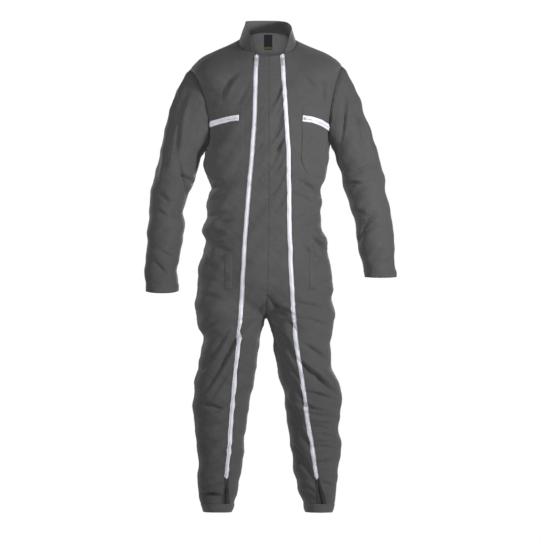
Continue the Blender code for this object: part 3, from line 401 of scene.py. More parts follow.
def bezier(corners, t):
    """Points of cubic curves: corners (n, 4, 3) at t (n, m) give (n, m, 3)."""
    weights = np.stack([(1 - t) ** 3, 3 * t * (1 - t) ** 2, 3 * t * t * (1 - t), t ** 3], -1)
    return np.einsum("nmk,nkc->nmc", weights, corners)


def unit(vectors):
    """The same directions at length one."""
    return vectors / np.linalg.norm(vectors, axis=-1, keepdims=True)


def points(x, y, z):
    """An array of points from their coordinates."""
    return np.stack(np.broadcast_arrays(x, y, z), -1).astype(float)


def bell(value, middle, width):
    """A soft hump of height one."""
    return np.exp(-(((value - middle) / width) ** 2))


def rise(value, start, span):
    """From 0 at start straight up to 1 one span further on; a negative span rises downward."""
    return np.clip((value - start) / span, 0, 1)


def on_side(side, point):
    """A point of the right side as an array, mirrored for the left."""
    return np.array(point) * (SIDES[side], 1, 1)


def armhole_edge(side, face, a):
    """Points of the armhole from underarm (a = 0) to shoulder tip (a = 1)."""
    shape = ARMHOLE[side]
    low, tip = on_side(side, shape["underarm"]), on_side(side, shape["tip"])
    forward = -ARMHOLE_FORWARD if face == "front" else ARMHOLE_FORWARD
    handles = [end + on_side(side, (-inward, forward, up))
               for end, inward, up in zip((low, tip), shape[face + "_in"], ARMHOLE_RISE)]
    return bezier(np.array([[low, *handles, tip]]), np.atleast_1d(a)[None])[0]


def up_edge(v):
    """How far each row is up the armhole and up the shoulder seam, 0 to 1 each."""
    return (rise(v, CHEST_V, SHOULDER_TIP_V - CHEST_V),
            rise(v, SHOULDER_TIP_V, NECK_V - SHOULDER_TIP_V))


def edge_of(side, face, v):
    """Outer edge of a body panel: side seam, then armhole, then shoulder seam."""
    a, s = up_edge(v)
    s = s[:, None]
    tip, neck = on_side(side, ARMHOLE[side]["tip"]), on_side(side, NECK_POINT[side])
    arch = ARCH_SCALE * SHOULDER_ARCH[side] * s * (1 - s) ** 2 * (0, 0, 1)
    edge = np.where(s > 0, tip + (neck - tip) * s + arch, armhole_edge(side, face, a))
    lift = ARMHOLE[side]["underarm"][2] - CHEST_V
    z = v + lift * np.clip(1 - (CHEST_V - v) / UNDERARM_BLEND, 0, 1) ** 2
    low = points(SIDES[side] * smooth(OUTLINE[side], "out", z), smooth(DEPTH, "side", z), z)
    return np.where((v < CHEST_V)[:, None], low, edge)


def centre_z(face, v):
    """Height of the centre line on a row: the back rises above the front near the neck."""
    if face == "front":
        return v
    back_z = (CHEST_V, CHEST_V, BACK_Z_AT_TIP, BACK_NECK_Z)
    above = np.interp(v, (CHEST_V - 1, CHEST_V, SHOULDER_TIP_V, NECK_V), back_z)
    return np.where(v < CHEST_V, v, above)


def torso_corners(side, face, v):
    """Corner points of each row's curve, from the centre line out to the edge."""
    z = centre_z(face, v)
    edge = edge_of(side, face, v)
    centre = points(smooth(CENTRE, "x", z), smooth(DEPTH, face, z), z)
    q = sum(up_edge(v))
    out, back, up = (smooth(ARRIVAL, name, q) for name in ("out", "back", face + "_up"))
    arrive = unit(points(SIDES[side] * out, back if face == "front" else -back, up))
    across = (edge - centre) * (HANDLE, 0, 0)
    span = np.linalg.norm(edge - centre, axis=1, keepdims=True)
    return np.stack([centre, centre + across, edge - arrive * span * ARRIVAL_HANDLE, edge], 1)


def leg_corners(side, face, v):
    """Corner points of half a leg ring, from the inseam round to the side seam."""
    inseam = SIDES[side] * smooth(INSEAM[side], "in", v)
    inner = np.where(v < FORK_V, inseam, smooth(CENTRE, "x", v))
    outer = edge_of(side, face, v)[:, 0]
    mid = smooth(DEPTH, "side", v)
    reach = mid + 4 / 3 * (smooth(DEPTH, face, v) - mid)
    corners = (inner, mid), (inner, reach), (outer, reach), (outer, mid)
    return np.stack([points(x, y, v) for x, y in corners], 1)


def base_point(side, face, v, t):
    """The smooth body: torso rows that turn into leg rings, late and steeply beside the fork."""
    down = rise(v, HIP_V, FORK_V - HIP_V)[:, None]
    arch = 1 - np.sqrt(np.clip(1 - down ** 2, 0, 1))
    torso, leg = (bezier(corners(side, face, v), t) for corners in (torso_corners, leg_corners))
    ease = down * down * (3 - 2 * down)
    share = ease + (arch - ease) * bell(t, 0, FORK_REACH * (1 - arch) + 1e-3)
    return torso + (leg - torso) * share[..., None]


def facing(surface, side, face, v, t, dv=0.5, dt=1e-3):
    """Outward direction of a surface, the smooth body or the dressed cloth, at rows v, places t."""
    low, high = np.clip(t - dt, 0, 1), np.clip(t + dt, 0, 1)
    along = surface(side, face, v, high) - surface(side, face, v, low)
    up = surface(side, face, np.minimum(v + dv, NECK_V), t) - surface(side, face, v - dv, t)
    return unit(np.cross(along, up) * SIDES[side] * (1 if face == "front" else -1))


def by_face(table):
    """Rows of a table of folds, each with its face put first."""
    return [(face, *row) for face, rows in table.items() for row in rows]


FOLD_LINES = [(*line, 0, width, depth) for *line, width, depth in by_face(FOLDS)]
CREASE_LINES = [
    (*line, bend, CREASE_WIDTH * width, depth) for *line, bend, width, depth in by_face(CREASES)
] + [
    (*line, BITE["bend"] * width, CREASE_WIDTH * (BITE["width"] * width),
     BITE["depth"] * depth / CREASE_STRENGTH)
    for *line, width, depth in by_face(FOLDS)
]


def press(where, normals, lines, form):
    """How far lines of folds move each point along its normal: troughs in, ridges out."""
    height, off, wide, sharp = form
    move = np.zeros(where.shape[:-1])
    for face, x0, z0, run_x, run_z, bend, width, depth in lines:
        along = np.array((run_x, run_z), float)
        length = np.hypot(*along)
        along = along / length
        offset = where[..., (0, 2)] - (x0, z0)
        share = offset @ along / length
        across = offset @ np.array((-along[1], along[0])) - 4 * bend * share * (1 - share)
        ends = np.clip(1 - np.abs(share - 0.5) / (0.5 + FOLD_REACH), 0, 1)
        trough = np.exp(-np.abs(across / width) ** sharp)
        turned = -normals[..., 1] if face == "front" else normals[..., 1]
        seen = np.sin(ends * math.pi / 2) ** 2 * np.clip(turned * 1.6 + 0.1, 0, 1)
        move += depth * (height * bell(across, off * width, wide * width) - trough) * seen
    return move


def ripple(where):
    """Slight unevenness of the whole cloth."""
    x, z = where[..., 0] / 1000, where[..., 2] / 1000
    move = np.zeros(where.shape[:-1])
    for a, b, phase, depth in RIPPLES:
        bend = 1.4 * np.sin(7 * x - 5 * z + phase)
        move += depth * np.sin(2 * math.pi * (a * x + b * z) + phase + bend)
    return move


def relief(where, normals, small=1.0):
    """How far folds, small creases and unevenness move each point along its normal."""
    fine = press(where, normals, CREASE_LINES, CREASE_FORM) * CREASE_STRENGTH + ripple(where)
    return press(where, normals, FOLD_LINES, FOLD_FORM) + small * fine


def neck_outward(where):
    """Level direction away from the neck's axis."""
    return unit((where - (0, NECK_AXIS_Y, 0)) * (1, 1, 0))


def neck_miter(where):
    """Wall direction that body and collar share along the neckline."""
    return unit(neck_outward(where) + (0, 0, 0.9))


def place_at_x(side, v, distance):
    """Where on each front row the panel lies this far from the middle."""
    low, high = np.zeros(len(v)), np.ones(len(v))
    for _ in range(40):
        mid = (low + high) / 2
        x = base_point(side, "front", v, mid[:, None])[:, 0, 0] * SIDES[side]
        low, high = np.where(x < distance, mid, low), np.where(x < distance, high, mid)
    return (low + high) / 2


def slot_edges(side, v):
    """Inner and outer edge of the slot between centre and side panel."""
    middle, half = smooth(ZIP_LINE, side, v), smooth(SLOT_HALF, side, v)
    return place_at_x(side, v, middle - half), place_at_x(side, v, middle + half)


def cloth_point(side, face, v, t):
    """Points of the dressed cloth: the part's form, its folds and the small creases."""
    where, normals = base_point(side, face, v, t), facing(base_point, side, face, v, t)
    row = v[:, None]
    move = relief(where, normals, rise(row, NECK_V - TAB_REACH, -TAB_FADE))
    at_fork = bell(row, FORK_V, FORK_FADE[0]) * np.exp(-((t / FORK_FADE[1]) ** 4))
    at_armhole = rise(row, CHEST_V - 10, ARMHOLE_FADE[0]) * bell(t, 1, ARMHOLE_FADE[1])
    move = move * rise(row, NECK_V, -NECK_FADE) * (1 - at_fork) * (1 - at_armhole)
    beside = 1 - rise(row, FORK_V, 10) * bell(t, 0, 0.03)
    return where + normals * points(move * beside, move, move)


def grid_normals(where, sign):
    """Outward directions of a grid with rows running down and columns out from the middle."""
    across, down = np.gradient(where, axis=1), np.gradient(where, axis=0)
    return unit(np.cross(down, across) * sign)


def path_length(where, axis):
    """Length along a grid's rows or columns, from the first point."""
    steps = np.linalg.norm(np.diff(where, axis=axis), axis=-1)
    first = np.zeros_like(np.take(steps, [0], axis))
    return np.concatenate([first, np.cumsum(steps, axis)], axis)


def wrapped(values):
    """A ring's grid with its first column again at its end."""
    return np.concatenate([values, values[:, :1]], 1)


def heights(top, bottom, step=FINE):
    """Even heights from top to bottom, no further apart than a step."""
    return np.linspace(top, bottom, int(math.ceil((top - bottom) / step)) + 1)


def ease_edges(grid, first, last, pucker):
    """Seams: the cloth dips at the first and last column and puckers a little beside them."""
    where, normals = grid
    across, along = path_length(where, 1), path_length(where, 0)
    rest = across[:, -1:] - across
    wave = np.sin(along / 2.9 + 1.5 * np.sin(along / 47)) * (0.6 + 0.4 * np.sin(along / 19))
    move = -SEAM_DIP * (np.reshape(first, (-1, 1)) * bell(across, 0, SEAM_WIDTH)
                        + last * bell(rest, 0, SEAM_WIDTH))
    move += PUCKER * pucker[0] * wave * bell(across, 7, 7)
    move += PUCKER * pucker[1] * wave[:, ::-1] * bell(rest, 7, 7)
    return where + normals * move[..., None], normals


def columns_between(start, end, width):
    """Columns from start to end on each row, closer together at both seams."""
    share = np.linspace(0, 1, max(3, int(round(width / FINE))) + 1)
    near = 1.4 / width
    share = np.unique(np.concatenate([share, [near, 2.2 * near, 1 - 2.2 * near, 1 - near]]))
    return start[:, None] + (end - start)[:, None] * share


def add(name, data):
    """A new object in the scene."""
    thing = bpy.data.objects.new(name, data)
    bpy.context.scene.collection.objects.link(thing)
    return thing


def grid_mesh(name, where, normals, finish, thickness, closed=False, reverse=None):
    """A thin closed shell from a grid of outer points, with its UV in metres along the cloth."""
    rows, columns = where.shape[:2]
    run = wrapped(where) if closed else where
    u, v = path_length(run, 1) * MM, path_length(run, 0) * MM
    u = u - u[:, u.shape[1] // 2][:, None]
    vertices = np.concatenate([where, where - normals * thickness]).reshape(-1, 3) * MM
    faces = shell_faces(rows, columns, closed)
    mesh = bpy.data.meshes.new(name)
    mesh.from_pydata(vertices.tolist(), [], faces.tolist())
    mesh.polygons.foreach_set("use_smooth", np.ones(len(faces), bool))
    at = faces % (rows * columns)
    i, j = at // columns, at % columns
    if closed:
        j = np.where((j == 0) & (j.max(1, keepdims=True) == columns - 1), columns, j)
    layer = mesh.uv_layers.new(name="cloth")
    layer.data.foreach_set("uv", np.stack([u[i, j], v[i, j]], -1).reshape(-1).astype(np.float32))
    mesh.materials.append(finish)
    # The inner faces take a second material, a brighter copy of the cloth that paints light on the
    # inside.
    if reverse:
        mesh.materials.append(reverse)
        outer = (rows - 1) * (columns - 1)
        inside = (np.arange(len(faces)) // outer == 1).astype(np.int32)
        mesh.polygons.foreach_set("material_index", inside)
    mesh.update()
    return add(name, mesh)


def shell_faces(rows, columns, closed):
    """Quads of a shell whose outer grid comes first and inner grid second."""
    inner = rows * columns
    at = np.arange(inner).reshape(rows, columns)
    at = wrapped(at) if closed else at
    outer = np.stack([at[:-1, :-1], at[1:, :-1], at[1:, 1:], at[:-1, 1:]], -1).reshape(-1, 4)
    rims = [(at[0, :-1], at[0, 1:]), (at[-1, 1:], at[-1, :-1])]
    if not closed:
        rims += [(at[1:, 0], at[:-1, 0]), (at[:-1, -1], at[1:, -1])]
    rims = [np.stack([a, b, b + inner, a + inner], -1) for a, b in rims]
    return np.concatenate([outer, outer[:, ::-1] + inner, *rims])


def signed_volume(mesh):
    """Volume of a mesh, below zero where its faces look inward."""
    solid = bmesh.new()
    solid.from_mesh(mesh)
    volume = solid.calc_volume(signed=True)
    solid.free()
    return volume


def place(thing, slot, *nodes):
    """Puts a piece on the root body, in the place of the part's nodes."""
    if signed_volume(thing.data) < 0:
        thing.data.flip_normals()
    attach(thing, "root")
    if nodes:
        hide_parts(*nodes)
    return thing


def sheet(stands_for, side, grid, finish, **form):
    """One piece of cloth, made from its grid and put on the root body in the place of its part."""
    end = "_" + side if side else ""
    name, slot, thickness, hangs, *cuts = PIECES[stands_for]
    thing = grid_mesh(name + end, *grid, finish, thickness, **form)
    place(thing, slot, stands_for + end)
    hangs = hangs.format(side=side)
    return thing


def panel(side, face, v, t):
    """Points and wall directions of a body panel."""
    where = cloth_point(side, face, v, t)
    normals = grid_normals(where, 1 if (side == "right") == (face == "front") else -1)
    normals[..., 0] *= 1 - rise(v, FORK_V, 4)[:, None] * bell(t, 0, 0.02)
    normals = unit(normals)
    at_neck = v >= NECK_V - 4
    normals[at_neck] = neck_miter(where[at_neck])
    return where, normals


def fill(made, values):
    """Sets a shader node's inputs and settings; a value that is a socket is linked."""
    for key, value in values.items():
        spaced = key if isinstance(key, int) else key.replace("_", " ")
        if isinstance(key, str) and spaced not in made.inputs:
            setattr(made, key, value)
        elif isinstance(value, bpy.types.NodeSocket):
            made.id_data.links.new(value, made.inputs[spaced])
        else:
            made.inputs[spaced].default_value = value


def node(tree, kind, *values, out=0, **named):
    """A new shader node with these inputs and settings; gives one of its outputs."""
    made = tree.nodes.new("ShaderNode" + kind)
    fill(made, dict(enumerate(values)) | named)
    return made.outputs[out]


def noise(tree, vector, scale, detail=3.0, roughness=0.5):
    """A grey noise over these coordinates."""
    return node(tree, "TexNoise", vector, out="Fac", Scale=scale, Detail=detail,
                Roughness=roughness)


def dents(tree, height, strength, distance, **under):
    """A bumped normal, on top of another if one is given."""
    return node(tree, "Bump", Height=height, Strength=strength, Distance=distance, **under)


def ramp(tree, source, *stops):
    """A colour that follows a value through stops of a position and a colour."""
    colour = node(tree, "ValToRGB", Fac=source)
    elements = colour.node.color_ramp.elements
    first, *middle, last = stops
    for element, (at, shade) in zip(elements, (first, last)):
        element.position, element.color = at, (*shade, 1)
    for at, shade in middle:
        elements.new(at).color = (*shade, 1)
    return colour


def finish_of(name, **values):
    """A new material, its node tree and its surface shader."""
    made = bpy.data.materials.new(name)
    made.use_nodes = True
    surface = made.node_tree.nodes["Principled BSDF"]
    fill(surface, values)
    return made, made.node_tree, surface


def scaled(colour, share):
    return tuple(c * share for c in colour)


def twill(name, colour):
    """Woven twill: fine diagonal ribs, slubs, faded patches and a soft nap."""
    made, tree, surface = finish_of(name, Sheen_Weight=0.15, Sheen_Roughness=0.45,
                                    Sheen_Tint=(0.9, 0.92, 1.0, 1), Specular_IOR_Level=0.22)
    uv = node(tree, "UVMap", uv_map="cloth")
    position = node(tree, "TexCoord", out="Object")
    ribs = node(tree, "TexWave", uv, out="Fac", Scale=RIB_SCALE, Distortion=0.6, Detail=1.0,
                Detail_Scale=0.4, bands_direction="DIAGONAL")
    yarn = noise(tree, uv, 900.0, 2.0, 0.6)
    slub = noise(tree, position, 130.0, 3.0, 0.65)
    patch = noise(tree, position, 7.0, 3.0, 0.55)
    broad = node(tree, "Math", patch, 0.3, operation="MULTIPLY")
    weighted = node(tree, "Math", slub, 0.42, broad, operation="MULTIPLY_ADD")
    mixed = node(tree, "Math", ribs, 0.38, weighted, operation="MULTIPLY_ADD")
    shade = ramp(tree, mixed, (0.15, scaled(colour, 0.62)), (0.5, colour),
                 (0.85, scaled(colour, 1.42)))
    fuzz = dents(tree, yarn, 0.35, 0.0004, Normal=dents(tree, ribs, 0.5, 0.00025))
    rough = node(tree, "MapRange", slub, To_Min=0.78, To_Max=0.95)
    soft = dents(tree, noise(tree, position, 38.0), 0.3, 0.004, Normal=fuzz)
    fill(surface, {"Base Color": shade, "Roughness": rough, "Normal": soft})
    return made


def tape_material(name, colour, pitch=0.0009):
    """Narrow woven tape: fine cross ribs and slightly grubby yarn."""
    made, tree, surface = finish_of(name, Roughness=0.6, Sheen_Weight=0.2, Sheen_Roughness=0.4)
    uv = node(tree, "UVMap", uv_map="cloth")
    ribs = node(tree, "TexWave", uv, out="Fac", Scale=0.314 / pitch, Distortion=0.2,
                bands_direction="Y")
    both = node(tree, "Math", ribs, 0.35, noise(tree, uv, 160.0), operation="MULTIPLY_ADD")
    shade = ramp(tree, both, (0.25, scaled(colour, 0.86)), (0.8, colour))
    fill(surface, {"Base Color": shade, "Normal": dents(tree, ribs, 0.5, 0.0003)})
    return made


def hard_material(name, colour, roughness):
    """Moulded plastic or painted metal, a little mottled and scuffed."""
    made, tree, surface = finish_of(name)
    mottle = noise(tree, node(tree, "TexCoord", out="Object"), 600.0)
    shade = ramp(tree, mottle, (0.3, scaled(colour, 0.85)), (0.7, colour))
    rough = node(tree, "MapRange", mottle, To_Min=roughness * 0.8, To_Max=roughness * 1.3)
    normal = dents(tree, mottle, 0.15, 0.0002)
    fill(surface, {"Base Color": shade, "Roughness": rough, "Normal": normal})
    return made


def sleeve_grid(side, head_steps, z_rows):
    """Rings from the armhole to the wrist; column 0 lies on top, then front, inside, back."""
    sign = SIDES[side]
    a = np.linspace(1, 0, SLEEVE_AROUND // 2 + 1)
    start = np.concatenate([
        armhole_edge(side, "front", a), armhole_edge(side, "back", a[::-1])[1:-1]])
    angle = np.linspace(0, 2 * math.pi, SLEEVE_AROUND, endpoint=False)
    cos, sin = np.cos(angle), np.sin(angle)

    def ring(z):
        outer, inner = smooth(SLEEVE[side], "out", z), smooth(SLEEVE[side], "in", z)
        x = sign * ((outer + inner) / 2 + (outer - inner) / 2 * cos)
        return points(x, smooth(SLEEVE_DEPTH, "mid", z) - smooth(SLEEVE_DEPTH, "half", z) * sin, z)

    end = ring(SLEEVE_TOP_Z)
    out, up, full = SLEEVE_HEAD[side]
    leave = unit(points(sign * (0.57 + out * cos), -0.25 * sin, up * cos - 0.75))
    arrive = unit(points(sign * 0.25, 0 * angle, -1))
    span = np.linalg.norm(end - start, axis=1)[:, None]
    reach = SLEEVE_FALL - SLEEVE_TURN * cos
    arrive = arrive * span * reach[:, None]
    start = start + leave * SLEEVE_GAP
    leave = leave * span * (reach + full * (1 + cos))[:, None]
    head = [
        (1 + 2 * w) * (1 - w) ** 2 * start + w * (1 - w) ** 2 * leave
        + w * w * (3 - 2 * w) * end + w * w * (w - 1) * arrive
        for w in head_steps
    ]
    return np.stack(head + [ring(z) for z in z_rows[1:]])


def ring_normals(where, sign):
    """Outward directions of a tube's grid."""
    around = np.roll(where, -1, 1) - np.roll(where, 1, 1)
    down = np.gradient(where, axis=0)
    return unit(np.cross(around, down) * sign)


def collar_half(side, bottom):
    """Rows and wall directions of half the collar, from its end at the zip to the back."""
    length = path_length(bottom, 0)
    q = 1 - length / length[-1]
    top = points(SIDES[side] * smooth(COLLAR, side, q), smooth(COLLAR, "y", q),
                 smooth(COLLAR, side + "_z", q))
    outward, miter = neck_outward(bottom), neck_miter(bottom)
    rows, directions = [], []
    for share in np.linspace(0, 1, COLLAR_STEPS + 1):
        bulge = outward * COLLAR_BULGE * 4 * share * (1 - share)
        rows.append(bottom + (top - bottom) * share + bulge)
        directions.append(unit(miter + (outward + (0, 0, 0.2) - miter) * min(1, 3 * share)))
    return np.stack(rows), np.stack(directions)


def body_rows():
    """Heights of the rows of every body panel, close together just above the fork."""
    near_fork = FORK_V + np.array((0.05, 0.3, 0.9, 1.9, 3.2))
    return np.unique(np.concatenate([
        heights(NECK_V, FORK_V), near_fork, heights(FORK_V, ZIP_END_V), heights(ZIP_END_V, HEM_V),
    ]))[::-1]


def inset_line(grid, distance, last=False, rows=slice(None)):
    """Points and directions on a grid's rows at a distance in from its first or last column."""
    where, normals = (values[rows][:, ::-1] if last else values[rows] for values in grid)
    found = []
    for i, length in enumerate(path_length(where, 1)):
        at = np.interp(distance, length, np.arange(len(length)))
        j = min(int(at), len(length) - 2)
        share = at - j
        found.append([values[i, j] * (1 - share) + values[i, j + 1] * share
                      for values in (where, normals)])
    found = np.array(found)
    return found[:, 0], unit(found[:, 1])


sewing = []


def sew(grid, first=(), last=(), top=(), bottom=(), rows=slice(None)):
    """Marks lines of stitches at these distances in from the edges of a grid, in mm."""
    turned = [values.swapaxes(0, 1) for values in grid]
    sewing.extend([inset_line(grid, distance, False, rows) for distance in first])
    sewing.extend([inset_line(grid, distance, True, rows) for distance in last])
    sewing.extend([inset_line(turned, distance) for distance in top])
    sewing.extend([inset_line(turned, distance, True) for distance in bottom])


def along_line(line, pitch):
    """Points, directions, run and sideways direction at even steps along a line."""
    length = path_length(line[0], 0)
    at = np.arange(pitch / 2, length[-1], pitch)
    where, normals = (
        np.stack([np.interp(at, length, values[:, k]) for k in range(3)], 1) for values in line)
    normals = unit(normals)
    run = unit(np.gradient(where, axis=0))
    return where, normals, run, np.cross(run, normals)


def many(name, shapes, faces_each, finish):
    """One mesh of many small equal solids: shapes (n, corners, 3) in millimetres."""
    count, corners = shapes.shape[:2]
    offsets = (np.arange(count) * corners)[:, None, None]
    faces = (np.array(faces_each)[None] + offsets).reshape(-1, len(faces_each[0]))
    mesh = bpy.data.meshes.new(name)
    mesh.from_pydata((shapes.reshape(-1, 3) * MM).tolist(), [], faces.tolist())
    mesh.polygons.foreach_set("use_smooth", np.zeros(len(faces), bool))
    mesh.materials.append(finish)
    return add(name, mesh)


def topstitching(finish):
    """Lock stitches along all marked lines, each a small plump thread."""
    shapes = []
    for line in sewing:
        where, normals, run, sideways = along_line(line, STITCH["pitch"])
        half, wide = run * STITCH["long"] / 2, sideways * STITCH["wide"] / 2
        low = where - normals * 0.3
        shapes.append(np.stack([
            low - half, low + half, where + wide, where - wide,
            where + normals * STITCH["high"], where - normals * 0.4,
        ], 1))
    place(many("topstitching", np.concatenate(shapes), STITCH_FACES, finish), "cloth")


def teeth(name, line, finish):
    """Two rows of moulded teeth, meshed along the middle of a zip."""
    where, normals, run, sideways = along_line(line, TOOTH["pitch"] / 2)
    sideways = sideways * np.where(np.arange(len(where)) % 2, 1.0, -1.0)[:, None]
    near, far = where - sideways * 0.9, where + sideways * TOOTH["across"]
    half = run * TOOTH["along"]
    low, high = -normals * 0.3, normals * TOOTH["high"]
    shapes = np.stack([
        near - half * 1.15 + low, far - half + low, far + half + low, near + half * 1.15 + low,
        near - half * 0.8 + high, far - half * 0.6 + high * 0.75,
        far + half * 0.6 + high * 0.75, near + half * 0.8 + high,
    ], 1)
    place(many(name, shapes, TOOTH_FACES, finish), "zip_tape")


def cloth_panels(side, finish, reverse):
    """Front centre, front side and back of one side; gives the neck edges of the last two."""
    v = body_rows()
    zip_inner, zip_outer = slot_edges(side, v)
    middle, rim = np.zeros(len(v)), np.ones(len(v))
    seam = 0.8 * (v > FORK_V + 4)

    def cut(face, start, end, name, *edges):
        columns = columns_between(start, end, PANEL_WIDTH[name])
        return ease_edges(panel(side, face, v, columns), *edges)

    centre = cut("front", middle, zip_inner, "centre", seam, -0.5, (2.2, 1.2))
    outer = cut("front", zip_outer, rim, "side", -0.5, 0.6, (1.2, 1.2))
    back = cut("back", middle, rim, "back", seam, 0.6, (1.6, 1.2))
    sheet("front_centre", side, centre, finish)
    sheet("front_side", side, outer, finish)
    # The back's inner faces take the brighter copy of the cloth: painted light.
    sheet("back", side, back, finish, reverse=reverse)
    above_fork = np.nonzero(v > FORK_V + 4)[0]
    armhole = np.nonzero((v > CHEST_V) & (v < SHOULDER_TIP_V))[0]
    sew(centre, first=(5,), rows=above_fork)
    sew(back, first=(3,), rows=above_fork)
    sew(centre, last=(4,))
    sew(outer, first=(4, 10))
    sew(outer, last=(3, 9), rows=armhole)
    sew(back, last=(3, 9))
    if side == "left":
        sew(centre, first=(16,), rows=above_fork)
        sew(back, first=(9,), rows=above_fork)
    return outer[0][0], back[0][0]


def slot_panel(side, v, columns):
    """The surface across the slot of a long zip, and each column's share of the way over."""
    start, end = slot_edges(side, v)
    share = np.linspace(0, 1, columns)
    return share, *panel(side, "front", v, start[:, None] + (end - start)[:, None] * share)


def long_zip(side, tape, plastic, gusset_painted_shade):
    """A long zip with its teeth, and the gusset folded in below its end, in a darker copy of the
    cloth that paints the shade of that recess.
    """
    v = body_rows()
    share, where, normals = slot_panel(side, v[v >= ZIP_END_V], TAPE_COLUMNS)
    where = where + normals * (TAPE_CROWN * np.sin(share * math.pi) - TAPE_SUNK)[:, None]
    sheet("zip_front", side, (where, normals), tape)
    where, normals = where[:, TAPE_COLUMNS // 2], normals[:, TAPE_COLUMNS // 2]
    teeth("teeth_front_" + side, (where + normals * 0.3, normals), plastic)
    lower = v[v <= ZIP_END_V + 5]
    share, where, normals = slot_panel(side, lower, GUSSET_COLUMNS)
    fold = np.sin(share * math.pi) ** 2 * (7 + 3 * np.cos(share * 4 * math.pi))
    where = where - normals * (1.0 + rise(lower, ZIP_END_V, -40)[:, None] * fold)[..., None]
    # The gusset's darker cloth is painted shade.
    sheet("ankle_gusset", side, (where, normals), gusset_painted_shade)
    sew((where, normals), top=(3,))


def ankle_band(side, finish):
    """The turned-up hem: a plump double band under the leg's own edge."""
    v = heights(HEM_V + 1.5, BAND_END_V, 3.2)
    share = (v[0] - v) / (v[0] - v[-1])
    t = np.tile(np.linspace(0, 1, 42), (len(v), 1))
    front, back = (cloth_point(side, face, v, t) for face in ("front", "back"))
    where = np.concatenate([front, back[:, -2:0:-1]], 1)
    normals = unit((where - where.mean(1, keepdims=True)) * (1, 1, 0))
    angle = np.linspace(0, 2 * math.pi, where.shape[1], endpoint=False)
    swell = (0.5 + 1.6 * np.sin(share * math.pi) ** 0.6)[:, None]
    swell = swell + 0.5 * np.sin(9 * angle + 4 * share[:, None]) * share[:, None]
    where = where + normals * swell[..., None]
    sheet("hem_band", side, (where, normals), finish, closed=True)
    sew((wrapped(where), wrapped(normals)), top=(5,))


def round_top(where, sign):
    """Softens the ridge that the armhole's point would start along the top of the sleeve."""
    down = path_length(where, 0)
    columns = np.arange(where.shape[1])
    away = np.minimum(columns, where.shape[1] - columns)
    share = (rise(down, 0, 18) * rise(down, 190, -80) * bell(away, 0, 11))[..., None]
    for _ in range(9):
        beside = (np.roll(where, 1, 1) + np.roll(where, -1, 1)) / 2
        where = where + 0.5 * share * (beside - where)
    return where + ring_normals(where, sign) * TOP_SWELL * share


def fine_sleeve(side, finish):
    """A sleeve gathered a little at its head, with a turned cuff and a slit in front."""
    sign = SIDES[side]
    wrist = SLEEVE[side][-1][0]
    head = np.linspace(0, 1, SLEEVE_HEAD_ROWS)
    where = round_top(sleeve_grid(side, head, heights(SLEEVE_TOP_Z, wrist)), sign)
    front = np.sin(np.linspace(0, 2 * math.pi, SLEEVE_AROUND, endpoint=False))
    where[..., 2] -= CUFF_DIP[side] * rise(where[..., 2], wrist + 90, -90) * front
    normals = ring_normals(where, sign)
    down = path_length(where, 0)
    rest = down[-1:] - down
    move = relief(where, normals) * rise(down, 0, 60)
    move += 1.6 * bell(down, 14, 9) - 0.7 * bell(down, 0, 4)
    column = np.arange(SLEEVE_AROUND)
    move += 0.7 * np.sin(column * 0.9 + 1.3 * np.sin(column * 0.35)) * bell(down, 16, 12)
    at, top = CUFF_SLIT[side]
    slit = bell(where[..., 0], at, 2.8) * rise(where[..., 2], top, -6)
    move -= 2.6 * slit * np.clip(-2 * normals[..., 1], 0, 1)
    move += 0.9 * rise(rest, 22, -2) + 0.5 * np.sin(down / 6) * np.exp(-rest / 40)
    where = where + normals * move[..., None]
    normals = ring_normals(where, sign)
    tuck = where[:1] - unit(where[1:2] - where[:1]) * 4 - normals[:1] * 2
    where, normals = np.concatenate([tuck, where]), np.concatenate([normals[:1], normals])
    sheet("sleeve", side, (where, normals), finish, closed=True)
    sew((wrapped(where), wrapped(normals)), bottom=(20, 17))
    under = slice(SLEEVE_HEAD_ROWS, None), SLEEVE_AROUND // 2
    sewing.append((where[under], normals[under]))


def collar(necks, finish, reverse):
    """The standing band on the neckline, from one zip round the back to the other."""
    halves = [collar_half(side, np.concatenate([front, back[::-1][1:]]))
              for side, (front, back) in necks.items()]
    (left, left_out), (right, right_out) = halves
    left[:, -1, 0] = right[:, -1, 0] = 0
    where = np.concatenate([left[:, :-1], right[:, ::-1]], 1)
    normals = np.concatenate([left_out[:, :-1], right_out[:, ::-1]], 1)
    up, across = path_length(where, 0), path_length(where, 1)
    edge = np.minimum(up[-1:] - up, np.minimum(across, across[:, -1:] - across))
    move = 0.9 * bell(edge, 3, 2.5) - 1.4 * bell(up, 0, 3)
    move += 0.9 * np.sin(across / 21 + up / 11) * np.sin(up / up[-1:] * math.pi)
    where = where + normals * move[..., None]
    # The collar's inner faces take the brighter lining: painted light.
    sheet("collar", "", (where, normals), finish, reverse=reverse)
    sew((where, normals), first=(5,), last=(5,), top=(4,), bottom=(5,))


def spot(side, x, z):
    """Rows and places of the front that lie at these distances from the middle and heights."""
    v, t = np.array(z, float), np.full(len(z), 0.5)
    for _ in range(7):
        v = np.clip(v, HEM_V, NECK_V)
        t = place_at_x(side, v, x)
        v = v + (z - base_point(side, "front", v, t[:, None])[:, 0, 2])
    return np.clip(v, HEM_V, NECK_V), t


def on_front(side, x, z, lift):
    """Points and directions lifted off the front cloth, for grids of distances and heights."""
    v, t = spot(side, x.reshape(-1), z.reshape(-1))
    at = side, "front", v, t[:, None]
    where, normals = (values.reshape(*x.shape, 3) for values in (
        cloth_point(*at), facing(cloth_point, *at, dv=1.5, dt=0.01)))
    return where + normals * lift[..., None], normals


